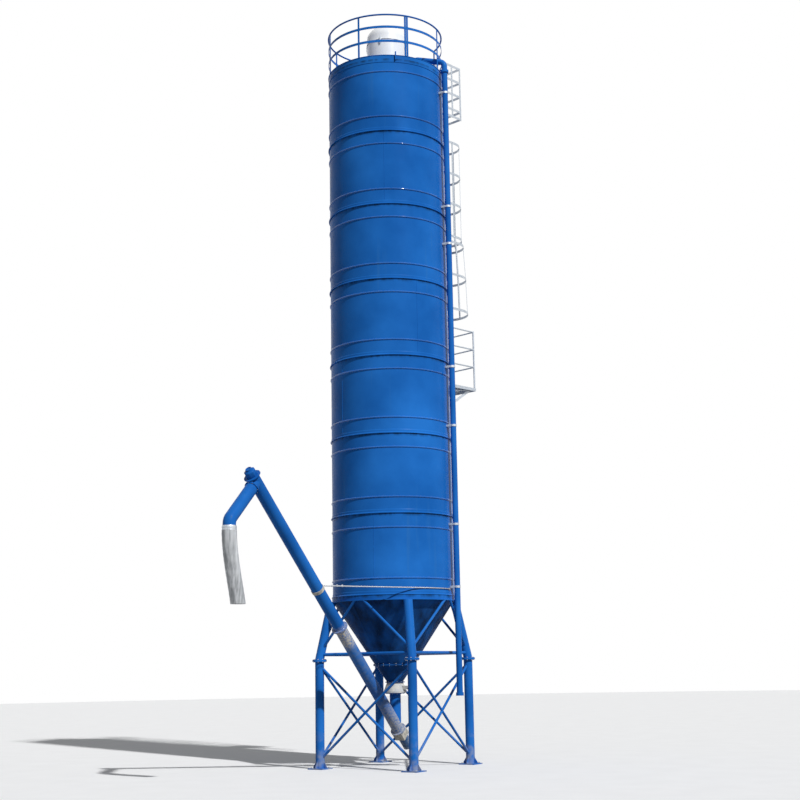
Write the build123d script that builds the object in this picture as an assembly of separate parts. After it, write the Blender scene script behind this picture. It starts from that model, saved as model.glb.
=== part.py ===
from build123d import *
from math import asin, atan2, cos, degrees, pi, radians, sin, sqrt
import os

os.makedirs("parts", exist_ok=True)

# The silo stands with its axis on Z and the soles of its four feet at z = 0.
# The screw conveyor rises towards -Y. All lengths are in millimetres, all angles in degrees.

# Shell of welded steel courses
shell_radius = 1160.0
shell_wall = 5.0
course_height = 1500.0
course_count = 7
shell_bottom = 3130.0
lap_inset = 40.0            # how far a course reaches up inside the one above
lap_clearance = 0.3
seat_clearance = 0.3        # between a piece and what it is welded, bolted or clamped to
cut_reach = 500.0           # how far a cutting block reaches past what it trims
weld_depth = 2.0            # how far the bars of one welded piece run into each other
joggle_height = 60.0
joggle_slope = 15.0
lip_width = 24.0
lip_thickness = 8.0
bead_radius = 17.0
bead_steps = 8
bead_lower = 305.0          # of the lower bead above the foot of a course
bead_drop = 260.0           # of the upper bead below the top of a course

# Ring at the foot of the shell, and the hopper below it
ring_wall = 14.0
ring_height = 95.0
ring_foot_flange = 40.0
ring_foot_thickness = 12.0
ring_shelf = 45.0
ring_shelf_thickness = 12.0
cone_skirt = 60.0
cone_wall = 6.0
cone_joint_z = 1870.0
cone_mouth_radius = 150.0
cone_mouth_z = 1540.0
flange_width = 35.0
flange_thickness = 14.0

# Roof, its rim and guardrail
roof_rise = 90.0
roof_wall = 5.0
rim_height = 150.0
rim_stand = 80.0            # the rim stands this far above the top of the shell
rim_wall = 8.0
rail_top = 860.0            # heights above the rim
rail_middle = 600.0
rail_low = 300.0
rail_tube_radius = 17.0
rail_band_height = 50.0
rail_band_thickness = 8.0
rail_post_width = 36.0
rail_post_thickness = 12.0
rail_post_inset = 22.0
rail_gap = 18.0             # half of the way through the guardrail at the ladder
rail_joints = [-36.0, -132.0]
rail_posts = [[8.0], [-84.0], [-176.0, -220.0]]
lug_width = 40.0
lug_thickness = 20.0
lug_rise = 60.0
lug_hole_radius = 12.0
lug_start = -47.5
lug_count = 3

# Dust filter on the roof
filter_radius = 400.0
filter_height = 730.0
filter_wall = 3.0
filter_lip = 12.0           # how far the cover stands out over the body
filter_dome_rise = 240.0
filter_lid_height = 160.0
filter_curb_height = 90.0
filter_curb_width = 30.0
filter_offset = 60.0
curb_skirt = 20.0           # how far the curb and the spigot hang below the roof sheet
spigot_wall = 8.0           # short tube in the roof that takes the end of the fill pipe
spigot_height = 90.0

# Legs
leg_radius = 84.0
leg_wall = 7.0
leg_inset = 142.0           # from the side of the shell in to each leg, along X and along Y
leg_flange_z = 1965.0
leg_flange_radius = 135.0
leg_flange_thickness = 18.0
leg_head_stand = 30.0       # how far the axis of a leg stands off the ring at its head
leg_cap = 12.0
foot_plate_side = 330.0
foot_plate_thickness = 20.0
foot_gusset_height = 120.0
foot_gusset_thickness = 10.0
foot_gusset_inset = 12.0
foot_gusset_tip = 20.0
anchor_offset = 118.0
anchor_hole_radius = 13.0
anchor_hole_overrun = 5.0   # how far the cut of a hole runs past each face

# Bracing
tie_z = 2075.0
tie_radius = 30.0
brace_radius = 24.0
brace_top_z = 1880.0
brace_foot_z = 160.0
strut_radius = 25.0
strut_foot_z = 2150.0
strut_head_turn = 5.0
strut_head_stand = 15.0

# Fill pipe
pipe_radius = 57.0
pipe_wall = 4.5
pipe_angle = 12.0
pipe_gap = 65.0             # between the shell and the pipe
pipe_foot_z = 1285.0
pipe_collar_rise = -40.0     # of the joint between pipe and elbow above the rim
pipe_shoulder_rise = 150.0
pipe_crest_rise = 340.0
pipe_bend_radius = 115.0
pipe_inner_end = 580.0
collar_radius = 82.0
collar_height = 34.0
coupling_radius = 72.0
coupling_height = 60.0
coupling_tail = 300.0       # length of pipe that the coupling carries above it
clamp_courses = [0, 0, 2, 2, 4, 5, 6]
clamp_rises = [160.0, 1340.0, 240.0, 1400.0, 890.0, 160.0, 1070.0]   # above the foot of its course
clamp_band_height = 40.0
clamp_band_thickness = 8.0
clamp_plate_width = 120.0

# Ladder, cage and rest platform
ladder_angle = 79.0
ladder_standoff = 200.0
ladder_width = 420.0
stile_depth = 60.0
stile_thickness = 10.0
rung_radius = 12.0
rung_step = 300.0
ladder_top_rise = 800.0     # above the rim
ladder_lower_angle = 107.0
ladder_lower_gap = 20.0     # between its foot and the foot of the shell
ladder_lower_reach = 1100.0 # of its top above the platform
bracket_height = 50.0
cage_half_width = 385.0
cage_straight = 300.0
cage_hoops = [1680.0, 2420.0, 3130.0, 3270.0, 3980.0, 4645.0, 5340.0]
cage_flares = [90.0, 70.0, 35.0, 0.0, 0.0, 0.0, 0.0]
lower_cage_hoops = [-2200.0, -1930.0, -1280.0, -630.0]
lower_cage_flares = [90.0, 0.0, 0.0, 0.0]
hoop_height = 50.0
hoop_thickness = 6.0
hoop_lap = 20.0             # of the arms of a hoop over the stiles
strap_width = 40.0
strap_thickness = 6.0
strap_turns = [90.0, 43.0, 0.0, -43.0, -90.0]
strap_side_run = 217.0      # from the ladder to the straps on the straight sides
exit_hoops = [-435.0, -275.0, 70.0, 390.0, 710.0]
exit_depth = 520.0
exit_bar = 8.0
platform_course = 2
platform_drop = 300.0       # below the top of its course
platform_depth = 60.0
platform_plate = 5.0
platform_edge = 8.0
platform_reach = 790.0
platform_half_width = 515.0
platform_angle = 77.0
platform_turn = 30.0        # the second half of the platform follows the shell round
platform_rails = [440.0, 810.0, 1180.0]
platform_bar = 15.0
platform_post = 18.0
platform_post_cap = 4.0     # how far a post stands over the top rail
platform_post_inset = 20.0
platform_shell_gap = 60.0   # between the shell and the first posts
hatch_length = 560.0
hatch_width = 560.0
arm_height = 70.0
arm_stay_height = 50.0
arm_thickness = 12.0
arm_drop = 520.0
arm_inset = 60.0
arm_turn = 14.0

# Screw conveyor
screw_angle = 44.3
screw_radius = 109.5
screw_wall = 5.0
screw_foot_z = 760.0        # height of its axis where it crosses the axis of the silo
screw_start = -125.0        # distances along the screw from that crossing
screw_joint = 2540.0
screw_end = 6080.0
screw_flange_radius = 150.0
screw_flange_thickness = 12.0
band_station = 3440.0
band_length = 60.0
band_thickness = 10.0
gearbox_length = 190.0
gearbox_side = 210.0
motor_radius = 88.0
motor_length = 270.0
bearing_length = 150.0
bearing_side = 190.0
spout_margin = 20.0         # between the spout and the end flange of the screw
spout_angle = 45.0
spout_length = 975.0
spout_bend_radius = 150.0
spout_wall = 4.0
spout_collar = 170.0
sleeve_radius = 125.0
sleeve_wall = 4.0
sleeve_length = 1180.0
sleeve_lean = 235.0         # its foot is drawn this far towards the silo
sleeve_overlap = 80.0
sleeve_shoulder = 30.0
sleeve_clamp = 9.0

# Outlet valve and inlet neck
valve_height = 190.0
valve_radius = 215.0
valve_top_radius = 155.0
valve_rim_height = 30.0
valve_bore_radius = 130.0
valve_handle_reach = 110.0
valve_handle_root = 10.0    # how far its root lies inside the body
valve_handle_width = 90.0
valve_handle_height = 70.0
neck_radius = 105.0
neck_wall = 6.0
neck_flange_radius = 185.0

# Stay cable
stay_radius = 11.0
stay_clearance = 0.8        # between the cable and the shell it bears on
stay_end_angle = 6.0
stay_lug = 44.0
stay_lug_wall = 4.0

# Values that follow
full_turn = 360.0
shell_top = shell_bottom + course_count * course_height
bead_upper = course_height - bead_drop
ring_outer = shell_radius + lap_clearance + ring_wall
rim_top = shell_top + rim_stand
platform_z = shell_bottom + (platform_course + 1) * course_height - platform_drop
platform_top = platform_z + platform_depth
leg_angles = [45.0, 135.0, 225.0, 315.0]
leg_spread = shell_radius - leg_inset
leg_distance = leg_spread * sqrt(2)
spout_station = screw_end - screw_flange_thickness - screw_radius - spout_margin


def polar(radius, angle, z=0.0):
    """Point at a distance from the axis, at an angle from +X."""
    return Vector(radius * cos(radians(angle)), radius * sin(radians(angle)), z)


def rod(start, end, radius, wall=0.0):
    """Round bar or tube between two points."""
    start, end = Vector(start), Vector(end)
    plane = Plane(origin=start, z_dir=end - start)
    section = Circle(radius)
    if wall:
        section = section - Circle(radius - wall)
    return extrude(plane * section, (end - start).length)


def block(start, end, width, depth, side):
    """Bar of rectangular section between two points; width is measured along side."""
    start, end = Vector(start), Vector(end)
    plane = Plane(origin=start, x_dir=Vector(side), z_dir=end - start)
    return extrude(plane * Rectangle(width, depth), (end - start).length)


def turned(points):
    """Solid of revolution about Z from a list of (radius, z) points."""
    section = make_face(Polyline([(r, 0, z) for r, z in points], close=True))
    return revolve(section, Axis.Z, full_turn)


def ring(outer, inner, low, high):
    """Plain ring about Z."""
    return turned([(inner, low), (outer, low), (outer, high), (inner, high)])


def radial(angle):
    """Unit vector pointing away from the axis."""
    return polar(1, angle)


def tangent(angle):
    """Unit vector along the shell, anticlockwise."""
    return polar(1, angle + 90)


def fused(solids):
    """One shape from solids that touch or cross."""
    result = solids[0]
    for item in solids[1:]:
        result = result + item
    return result


def write(name, shape):
    """One node: one STEP file."""
    export_step(shape, f"parts/{name}.step")


def group(solids):
    """Several separate solids kept together in one node."""
    found = []
    for item in solids:
        found.extend(item.solids())
    return Compound(children=found)


def largest(shape):
    """The main solid of a cut piece, without its offcuts."""
    return max(shape.solids(), key=lambda solid: solid.volume)


def upright(place, radius, low, high):
    """Upright cylinder at a place in plan."""
    return Pos(place.X, place.Y, low) * Cylinder(
        radius, high - low, align=(Align.CENTER, Align.CENTER, Align.MIN))


# Shell courses

def bead(z):
    """Points of a half-round bead on a profile, from below to above."""
    turns = [pi * step / bead_steps for step in range(bead_steps + 1)]
    return [(bead_radius * sin(turn), z - bead_radius * cos(turn)) for turn in turns]


def course_outline(grow):
    """Outside of a course from its lip to its upper bead, grown by a clearance."""
    joggle = shell_radius + lap_clearance + shell_wall + grow
    lip = shell_radius + lip_width + grow
    outline = [
        (lip, -grow),
        (lip, lip_thickness),
        (joggle, lip_thickness + lip - joggle),
        (joggle, joggle_height),
        (shell_radius + grow, joggle_height + joggle_slope),
    ]
    beads = bead(bead_lower) + bead(bead_upper)
    return outline + [(shell_radius + grow + proud, z) for proud, z in beads]


def course(index):
    """One course of sheet with its lip, its joggle and its two beads."""
    foot = shell_bottom + index * course_height
    top = course_height + (lap_inset if index < course_count - 1 else 0)
    inner = shell_radius - shell_wall
    inner_joggle = shell_radius + lap_clearance
    outside = [(inner_joggle, 0)] + course_outline(0) + [(shell_radius, top)]
    beads = bead(bead_lower) + bead(bead_upper)
    inside = [(inner, top)] + [(inner + proud, z) for proud, z in reversed(beads)]
    inside += [(inner, joggle_height + joggle_slope), (inner_joggle, joggle_height)]
    return turned([(r, z + foot) for r, z in outside + inside])


for index in range(course_count):
    write(f"shell_course_{index + 1}", course(index))

# Room that the shell takes up, for cutting whatever is fixed to it
room_outline = [(0, shell_bottom - seat_clearance)]
for index in range(course_count):
    foot = shell_bottom + index * course_height
    room_outline += [(r, z + foot) for r, z in course_outline(seat_clearance)]
    room_outline.append((shell_radius + seat_clearance, foot + course_height - seat_clearance))
room_outline.append((0, shell_top - seat_clearance))
shell_room = turned(room_outline)


# Bottom ring and hopper

ring_bottom = shell_bottom - ring_height
ring_inner = ring_outer - ring_wall
bottom_ring = turned([
    (ring_inner, ring_bottom),
    (ring_outer + ring_foot_flange, ring_bottom),
    (ring_outer + ring_foot_flange, ring_bottom + ring_foot_thickness),
    (ring_outer, ring_bottom + ring_foot_thickness),
    (ring_outer, shell_bottom),
    (ring_inner - ring_shelf, shell_bottom),
    (ring_inner - ring_shelf, shell_bottom - ring_shelf_thickness),
    (ring_inner, shell_bottom - ring_shelf_thickness),
])
write("bottom_ring", bottom_ring)

cone_top_z = shell_bottom - ring_shelf_thickness
cone_edge = ring_inner - lap_clearance
skirt_foot = cone_top_z - cone_skirt
cone_slope = (cone_edge - cone_mouth_radius) / (skirt_foot - cone_mouth_z)
cone_joint_radius = cone_mouth_radius + (cone_joint_z - cone_mouth_z) * cone_slope
hopper_cone = turned([
    (cone_edge, cone_top_z),
    (cone_edge - cone_wall, cone_top_z),
    (cone_edge - cone_wall, skirt_foot),
    (cone_joint_radius - cone_wall, cone_joint_z + flange_thickness),
    (cone_joint_radius - cone_wall, cone_joint_z),
    (cone_joint_radius + flange_width, cone_joint_z),
    (cone_joint_radius + flange_width, cone_joint_z + flange_thickness),
    (cone_joint_radius + flange_thickness * cone_slope, cone_joint_z + flange_thickness),
    (cone_edge, skirt_foot),
])
write("hopper_cone", hopper_cone)

hopper_outlet = turned([
    (cone_joint_radius - cone_wall, cone_joint_z),
    (cone_joint_radius + flange_width, cone_joint_z),
    (cone_joint_radius + flange_width, cone_joint_z - flange_thickness),
    (cone_joint_radius - flange_thickness * cone_slope, cone_joint_z - flange_thickness),
    (cone_mouth_radius, cone_mouth_z + flange_thickness),
    (cone_mouth_radius + flange_width, cone_mouth_z + flange_thickness),
    (cone_mouth_radius + flange_width, cone_mouth_z),
    (cone_mouth_radius - cone_wall, cone_mouth_z),
    (cone_mouth_radius - cone_wall, cone_mouth_z + flange_thickness),
    (cone_joint_radius - flange_thickness * cone_slope - cone_wall, cone_joint_z - flange_thickness),
])
write("hopper_outlet", hopper_outlet)


# Roof, rim and guardrail

rim_inner = shell_radius + lap_clearance
rim_outer = rim_inner + rim_wall
rim_low = rim_top - rim_height
roof_rim = turned([
    (rim_inner, rim_low),
    (rim_outer, rim_low),
    (rim_outer, rim_top - rim_wall),
    (rim_outer + rim_wall, rim_top - rim_wall),
    (rim_outer + rim_wall, rim_top),
    (rim_inner, rim_top),
])
write("roof_rim", roof_rim)

curb_radius = filter_radius + filter_curb_width
curb_centre = Vector(0, filter_offset, 0)
roof_plate_top = shell_top + roof_wall


def roof_height(distance):
    """Top of the roof cone at a distance from the axis."""
    return roof_plate_top + roof_rise * (1 - distance / shell_radius)


roof_cone = turned([
    (0, shell_top + roof_rise),
    (shell_radius, shell_top),
    (shell_radius, roof_plate_top),
    (0, roof_plate_top + roof_rise),
])
curb_foot = roof_height(curb_radius + filter_offset) - roof_wall - curb_skirt
curb_top = shell_top + filter_curb_height + roof_wall
spigot_place = polar(pipe_inner_end, pipe_angle)
spigot_radius = pipe_radius + seat_clearance
spigot_foot = roof_height(pipe_inner_end) - roof_wall - curb_skirt
spigot_top = roof_height(pipe_inner_end) + spigot_height
roof = roof_cone + upright(curb_centre, curb_radius, curb_foot, curb_top)
roof = roof + upright(spigot_place, spigot_radius + spigot_wall, spigot_foot, spigot_top)
roof = roof - upright(curb_centre, filter_radius, shell_top - roof_rise, curb_top + roof_rise)
roof = roof - upright(spigot_place, spigot_radius, shell_top - roof_rise, spigot_top + roof_rise)
write("roof", roof)

rail_circle = shell_radius + rim_wall / 2


def arc_band(radius, thickness, low, high, start, sweep):
    """Flat band bent round the axis."""
    section = Plane.XZ * (Pos(radius, (low + high) / 2) * Rectangle(thickness, high - low))
    return Rot(0, 0, start) * revolve(section, Axis.Z, sweep)


def arc_tube(radius, z, tube_radius, start, sweep):
    """Round rail bent round the axis."""
    section = Plane.XZ * (Pos(radius, z) * Circle(tube_radius))
    return Rot(0, 0, start) * revolve(section, Axis.Z, sweep)


rail_edges = [ladder_angle - rail_gap, *rail_joints, ladder_angle + rail_gap - full_turn]
post_turn = degrees(rail_post_inset / rail_circle)
for index, middle_posts in enumerate(rail_posts):
    start, end = rail_edges[index + 1], rail_edges[index]
    pieces = [arc_tube(rail_circle, rim_top + rail_top, rail_tube_radius, start, end - start)]
    for height in (rail_middle, rail_low):
        pieces.append(arc_band(rail_circle, rail_band_thickness, rim_top + height - rail_band_height / 2,
                               rim_top + height + rail_band_height / 2, start, end - start))
    for angle in (start + post_turn, *middle_posts, end - post_turn):
        foot = polar(rail_circle, angle, rim_top)
        head = polar(rail_circle, angle, rim_top + rail_top)
        pieces.append(block(foot, head, rail_post_width, rail_post_thickness, tangent(angle)))
    write(f"guardrail_{index + 1}", fused(pieces))


# Dust filter

filter_foot = curb_top
filter_inner = filter_radius - filter_wall
filter_axis = Pos(curb_centre.X, curb_centre.Y, 0)
filter_body = filter_axis * turned([
    (filter_inner, filter_foot),
    (curb_radius, filter_foot),
    (curb_radius, filter_foot + flange_thickness),
    (filter_radius, filter_foot + flange_thickness),
    (filter_radius, filter_foot + filter_height),
    (filter_inner, filter_foot + filter_height),
])
write("filter_body", filter_body)

lid_foot = filter_foot + filter_height
lid_top = lid_foot + filter_lid_height
lid_radius = filter_radius + filter_lip
dome_radius = (lid_radius ** 2 + filter_dome_rise ** 2) / (2 * filter_dome_rise)
dome_place = Pos(0, 0, lid_top + filter_dome_rise - dome_radius)
dome = dome_place * (Sphere(dome_radius) - Sphere(dome_radius - filter_wall))
dome = dome & upright(Vector(0, 0, 0), lid_radius, lid_top, lid_top + filter_dome_rise)
lid = turned([
    (filter_inner, lid_foot),
    (lid_radius, lid_foot),
    (lid_radius, lid_top),
    (lid_radius - filter_wall * 2, lid_top),
    (lid_radius - filter_wall * 2, lid_foot + filter_wall),
    (filter_inner, lid_foot + filter_wall),
])
write("filter_cover", filter_axis * (lid + dome))


# Lifting lugs

rim_room_radius = rim_outer + rim_wall + seat_clearance
rim_room = upright(Vector(0, 0, 0), rim_room_radius, rim_low, rim_top + seat_clearance)
lugs = []
for index in range(lug_count):
    angle = lug_start + index * full_turn / lug_count
    centre = rim_outer + lug_width / 2
    plate = block(polar(centre, angle, rim_low + lug_width), polar(centre, angle, rim_top + lug_rise),
                  lug_thickness, lug_width, tangent(angle))
    eye = polar(centre, angle, rim_top + lug_rise - lug_width)
    plate = plate - rod(eye - tangent(angle) * lug_width, eye + tangent(angle) * lug_width, lug_hole_radius)
    lugs.append(plate - rim_room)
write("lifting_lugs", group(lugs))


# Legs

def leg_head(angle):
    """Axis point of a leg at its head, under the foot flange of the bottom ring."""
    return polar(ring_outer + leg_head_stand, angle, ring_bottom)


def leg_point(angle, z):
    """Point on the axis of the sloping upper leg at a height."""
    low = polar(leg_distance, angle, leg_flange_z + leg_flange_thickness)
    high = leg_head(angle)
    share = (z - low.Z) / (high.Z - low.Z)
    return low + (high - low) * share


cone_room = turned([
    (0, cone_mouth_z),
    (cone_mouth_radius + lap_clearance, cone_mouth_z),
    (cone_edge + lap_clearance, skirt_foot),
    (cone_edge + lap_clearance, cone_top_z),
    (0, cone_top_z),
])


uppers = []
for angle in leg_angles:
    low = polar(leg_distance, angle, leg_flange_z + leg_flange_thickness)
    reach = leg_radius
    tube = rod(leg_point(angle, low.Z - reach), leg_point(angle, ring_bottom + reach), leg_radius)
    bore = rod(leg_point(angle, low.Z - reach), leg_point(angle, ring_bottom + reach), leg_radius - leg_wall)
    bore = bore - upright(low, cut_reach, ring_bottom - leg_cap, ring_bottom + cut_reach)
    ends = (upright(low, cut_reach, low.Z - cut_reach, low.Z)
            + upright(low, cut_reach, ring_bottom, ring_bottom + cut_reach))
    flange = upright(low, leg_flange_radius, leg_flange_z, low.Z)
    uppers.append((tube - bore - ends - cone_room) + flange)
write("upper_legs", group(uppers))

lowers = []
feet = []
for angle in leg_angles:
    base = polar(leg_distance, angle)
    tube = ring(leg_radius, leg_radius - leg_wall, foot_plate_thickness, leg_flange_z)
    flange = Pos(base.X, base.Y, leg_flange_z) * Cylinder(
        leg_flange_radius, leg_flange_thickness, align=(Align.CENTER, Align.CENTER, Align.MAX))
    lowers.append(Pos(base.X, base.Y, 0) * tube + flange)
    plate = Pos(base.X, base.Y, 0) * Box(
        foot_plate_side, foot_plate_side, foot_plate_thickness, align=(Align.CENTER, Align.CENTER, Align.MIN))
    for sign in (-1, 1):
        hole_x = base.X + sign * anchor_offset * (1 if base.X > 0 else -1)
        hole_y = base.Y + sign * anchor_offset * (1 if base.Y > 0 else -1)
        plate = plate - upright(Vector(hole_x, hole_y, 0), anchor_hole_radius,
                                -anchor_hole_overrun, foot_plate_thickness + anchor_hole_overrun)
    for quarter in range(4):
        start = leg_radius + lap_clearance
        outer = foot_plate_side / 2 - foot_gusset_inset
        gusset = make_face(Polyline([
            (start, foot_plate_thickness, 0),
            (outer, foot_plate_thickness, 0),
            (outer, foot_plate_thickness + foot_gusset_tip, 0),
            (start, foot_plate_thickness + foot_gusset_height, 0)], close=True))
        gusset = extrude(Plane.XZ * gusset, foot_gusset_thickness / 2, both=True)
        plate = plate + Pos(base.X, base.Y, 0) * (Rot(0, 0, quarter * 90) * gusset)
    feet.append(plate)
write("lower_legs", group(lowers))
write("foot_plates", group(feet))


# Ties, cross braces and struts

def leg_axis(angle, z):
    """Point on the axis of a leg at a height, on its upright or its sloping part."""
    return leg_point(angle, z) if z > leg_flange_z else polar(leg_distance, angle, z)


def leg_body(angle):
    """Room that a leg takes up, with the clearance of what is welded to it."""
    low = upright(polar(leg_distance, angle), leg_radius + seat_clearance, 0, leg_flange_z)
    high = rod(leg_axis(angle, leg_flange_z + 1), leg_head(angle), leg_radius + seat_clearance)
    return low + high


leg_bodies = {angle: leg_body(angle) for angle in leg_angles}


def between_legs(first, second, z_first, z_second, radius):
    """Round brace between two legs, cut to the round of their tubes."""
    bar = rod(leg_axis(first, z_first), leg_axis(second, z_second), radius)
    return largest(bar - leg_bodies[first] - leg_bodies[second])


ties = []
braces = []
for index, angle in enumerate(leg_angles):
    following = leg_angles[(index + 1) % 4]
    ties.append(between_legs(angle, following, tie_z, tie_z, tie_radius))
    braces.append(between_legs(angle, following, brace_foot_z, brace_top_z, brace_radius))
    falling = between_legs(angle, following, brace_top_z, brace_foot_z, brace_radius)
    room = rod(leg_axis(angle, brace_foot_z), leg_axis(following, brace_top_z),
               brace_radius + seat_clearance)
    halves = sorted((falling - room).solids(), key=lambda solid: -solid.volume)
    braces.extend(halves[:2])
write("leg_ties", group(ties))
write("cross_braces", group(braces))

struts = []
for angle in leg_angles:
    for side in (-1, 1):
        foot = leg_point(angle, strut_foot_z)
        head = polar(ring_outer + strut_head_stand, angle + side * (45 - strut_head_turn), ring_bottom)
        run = (head - foot).normalized()
        bar = rod(foot, head + run * strut_radius * 2, strut_radius) - leg_bodies[angle]
        above = upright(head, cut_reach, ring_bottom, ring_bottom + cut_reach)
        struts.append(largest(bar - above))
write("shell_struts", group(struts))


# Fill pipe

pipe_distance = shell_radius + pipe_gap + pipe_radius
pipe_collar_z = rim_top + pipe_collar_rise
pipe_inner = pipe_radius - pipe_wall
pipe_place = polar(pipe_distance, pipe_angle)
pipe_axis = Pos(pipe_place.X, pipe_place.Y, 0)
coupling_top = pipe_foot_z + coupling_height
tail_top = coupling_top + coupling_tail
fill_pipe = pipe_axis * turned([
    (pipe_inner, tail_top),
    (pipe_radius, tail_top),
    (pipe_radius, pipe_collar_z - collar_height),
    (collar_radius, pipe_collar_z - collar_height),
    (collar_radius, pipe_collar_z),
    (pipe_inner, pipe_collar_z),
])
write("fill_pipe", fill_pipe)
coupling = pipe_axis * turned([
    (pipe_inner, pipe_foot_z),
    (coupling_radius, pipe_foot_z),
    (coupling_radius, coupling_top),
    (pipe_radius, coupling_top),
    (pipe_radius, tail_top),
    (pipe_inner, tail_top),
])
write("fill_pipe_coupling", coupling)

bend_plane = Plane(origin=(0, 0, 0), x_dir=radial(pipe_angle), z_dir=-tangent(pipe_angle))
elbow_path = bend_plane * FilletPolyline(
    (pipe_distance, pipe_collar_z),
    (pipe_distance, rim_top + pipe_shoulder_rise),
    (pipe_inner_end, rim_top + pipe_crest_rise),
    (pipe_inner_end, roof_height(pipe_inner_end)),
    radius=pipe_bend_radius)
elbow_start = Plane(origin=elbow_path @ 0, z_dir=elbow_path % 0)
elbow = sweep(elbow_start * (Circle(pipe_radius) - Circle(pipe_inner)), path=elbow_path)
elbow_collar = pipe_axis * ring(
    collar_radius, pipe_radius - pipe_wall / 2, pipe_collar_z, pipe_collar_z + collar_height / 2)
write("fill_pipe_elbow", elbow + elbow_collar)

clamps = []
for index, rise in zip(clamp_courses, clamp_rises):
    z = shell_bottom + index * course_height + rise
    pipe_room = upright(pipe_place, pipe_radius + seat_clearance,
                        z - clamp_band_height, z + clamp_band_height)
    band = upright(pipe_place, pipe_radius + seat_clearance + clamp_band_thickness,
                   z - clamp_band_height / 2, z + clamp_band_height / 2)
    plate = block(polar(shell_radius - bead_radius, pipe_angle, z), polar(pipe_distance, pipe_angle, z),
                  clamp_plate_width, clamp_band_height, tangent(pipe_angle))
    clamps.append(band + plate - pipe_room - shell_room)
write("pipe_clamps", group(clamps))


# Ladders

stile_circle = shell_radius + ladder_standoff
cage_base = stile_circle + stile_depth / 2


def ladder(angle, low, high):
    """Ladder flight: two flat stiles, round rungs and the brackets that hold it to the shell."""
    along = tangent(angle)
    half = along * (ladder_width / 2)
    pieces = []
    for side in (-1, 1):
        foot = polar(stile_circle, angle, low) + half * side
        pieces.append(block(foot, foot + Vector(0, 0, high - low), stile_thickness, stile_depth, along))
        for index in range(course_count):
            z = shell_bottom + (index + 0.5) * course_height
            if low < z < high:
                outer = polar(stile_circle, angle, z) + half * side
                inner = outer - radial(angle) * (ladder_standoff + stile_depth)
                pieces.append(block(inner, outer, stile_thickness, bracket_height, along) - shell_room)
    for index in range(int((high - low - rung_step / 2) // rung_step) + 1):
        middle = polar(stile_circle, angle, low + rung_step / 2 + index * rung_step)
        pieces.append(rod(middle - half, middle + half, rung_radius))
    return fused(pieces)


upper_flight = ladder(ladder_angle, platform_top, rim_top + ladder_top_rise)
lower_flight = ladder(ladder_lower_angle, shell_bottom + ladder_lower_gap, platform_top + ladder_lower_reach)
write("ladders", group([upper_flight, lower_flight]))


# Safety cages

def cage_path(angle, flare=0.0):
    """Line of a U-shaped hoop in plan, from one stile round to the other."""
    out, along = radial(angle), tangent(angle)
    half = cage_half_width + flare
    origin = out * (cage_base + cage_straight)
    left = Line(out * cage_base + along * half, origin + along * half)
    bend = ThreePointArc(origin + along * half, origin + out * half, origin - along * half)
    right = Line(origin - along * half, out * cage_base - along * half)
    return Wire([left, bend, right])


def hoop_arms(angle, z, half):
    """Flat arms of a hoop that run in to the stiles."""
    arms = []
    for side in (-1, 1):
        face = radial(angle) * (cage_base + hoop_thickness / 2) + Vector(0, 0, z)
        foot = face + tangent(angle) * (side * (ladder_width / 2 - hoop_lap))
        tip = face + tangent(angle) * (side * (half + hoop_thickness / 2))
        arms.append(block(foot, tip, hoop_thickness, hoop_height, radial(angle)))
    return arms


def hoop(angle, z, flare=0.0):
    """Flat hoop of a cage at a height."""
    path = cage_path(angle, flare)
    inner = make_face(Wire([*path.edges(), Line(path @ 1, path @ 0)]))
    outer = offset(inner, hoop_thickness, kind=Kind.INTERSECTION)
    band = extrude(Pos(0, 0, z - hoop_height / 2) * (outer - inner), hoop_height)
    open_side = radial(angle) * (cage_base - ladder_width)
    clear = block(open_side + Vector(0, 0, z - hoop_height), open_side + Vector(0, 0, z + hoop_height),
                  ladder_width * 2, ladder_width * 4, radial(angle))
    return fused([band - clear] + hoop_arms(angle, z, cage_half_width + flare))


def strap(angle, turn, levels, flares):
    """Upright strap just inside the hoops, bent where they widen."""
    last = len(levels) - 1
    knees = [i for i in range(1, last) if not flares[i - 1] == flares[i] == flares[i + 1]]
    facing = radial(angle + turn)
    run = strap_side_run if abs(turn) == 90 else cage_straight
    centre = radial(angle) * (cage_base + run)
    outer = []
    for i in (0, *knees, last):
        away = facing * (cage_half_width + flares[i] + weld_depth)
        for z in (levels[i] - hoop_height / 2, levels[i] + hoop_height / 2):
            outer.append(centre + away + Vector(0, 0, z))
    inner = [point - facing * strap_thickness for point in reversed(outer)]
    profile = make_face(Polyline(outer + inner, close=True))
    return extrude(profile, strap_width / 2, dir=tangent(angle + turn), both=True)


def cage(angle, levels, flares):
    """Cage of hoops and upright straps, with the hoops widened towards its foot."""
    hoops = [hoop(angle, z, flare) for z, flare in zip(levels, flares)]
    return fused(hoops + [strap(angle, turn, levels, flares) for turn in strap_turns])


upper_levels = [platform_z + rise for rise in cage_hoops]
lower_levels = [platform_z + rise for rise in lower_cage_hoops]
write("ladder_cage", cage(ladder_angle, upper_levels, cage_flares))
write("ladder_cage_lower", cage(ladder_lower_angle, lower_levels, lower_cage_flares))


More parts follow.
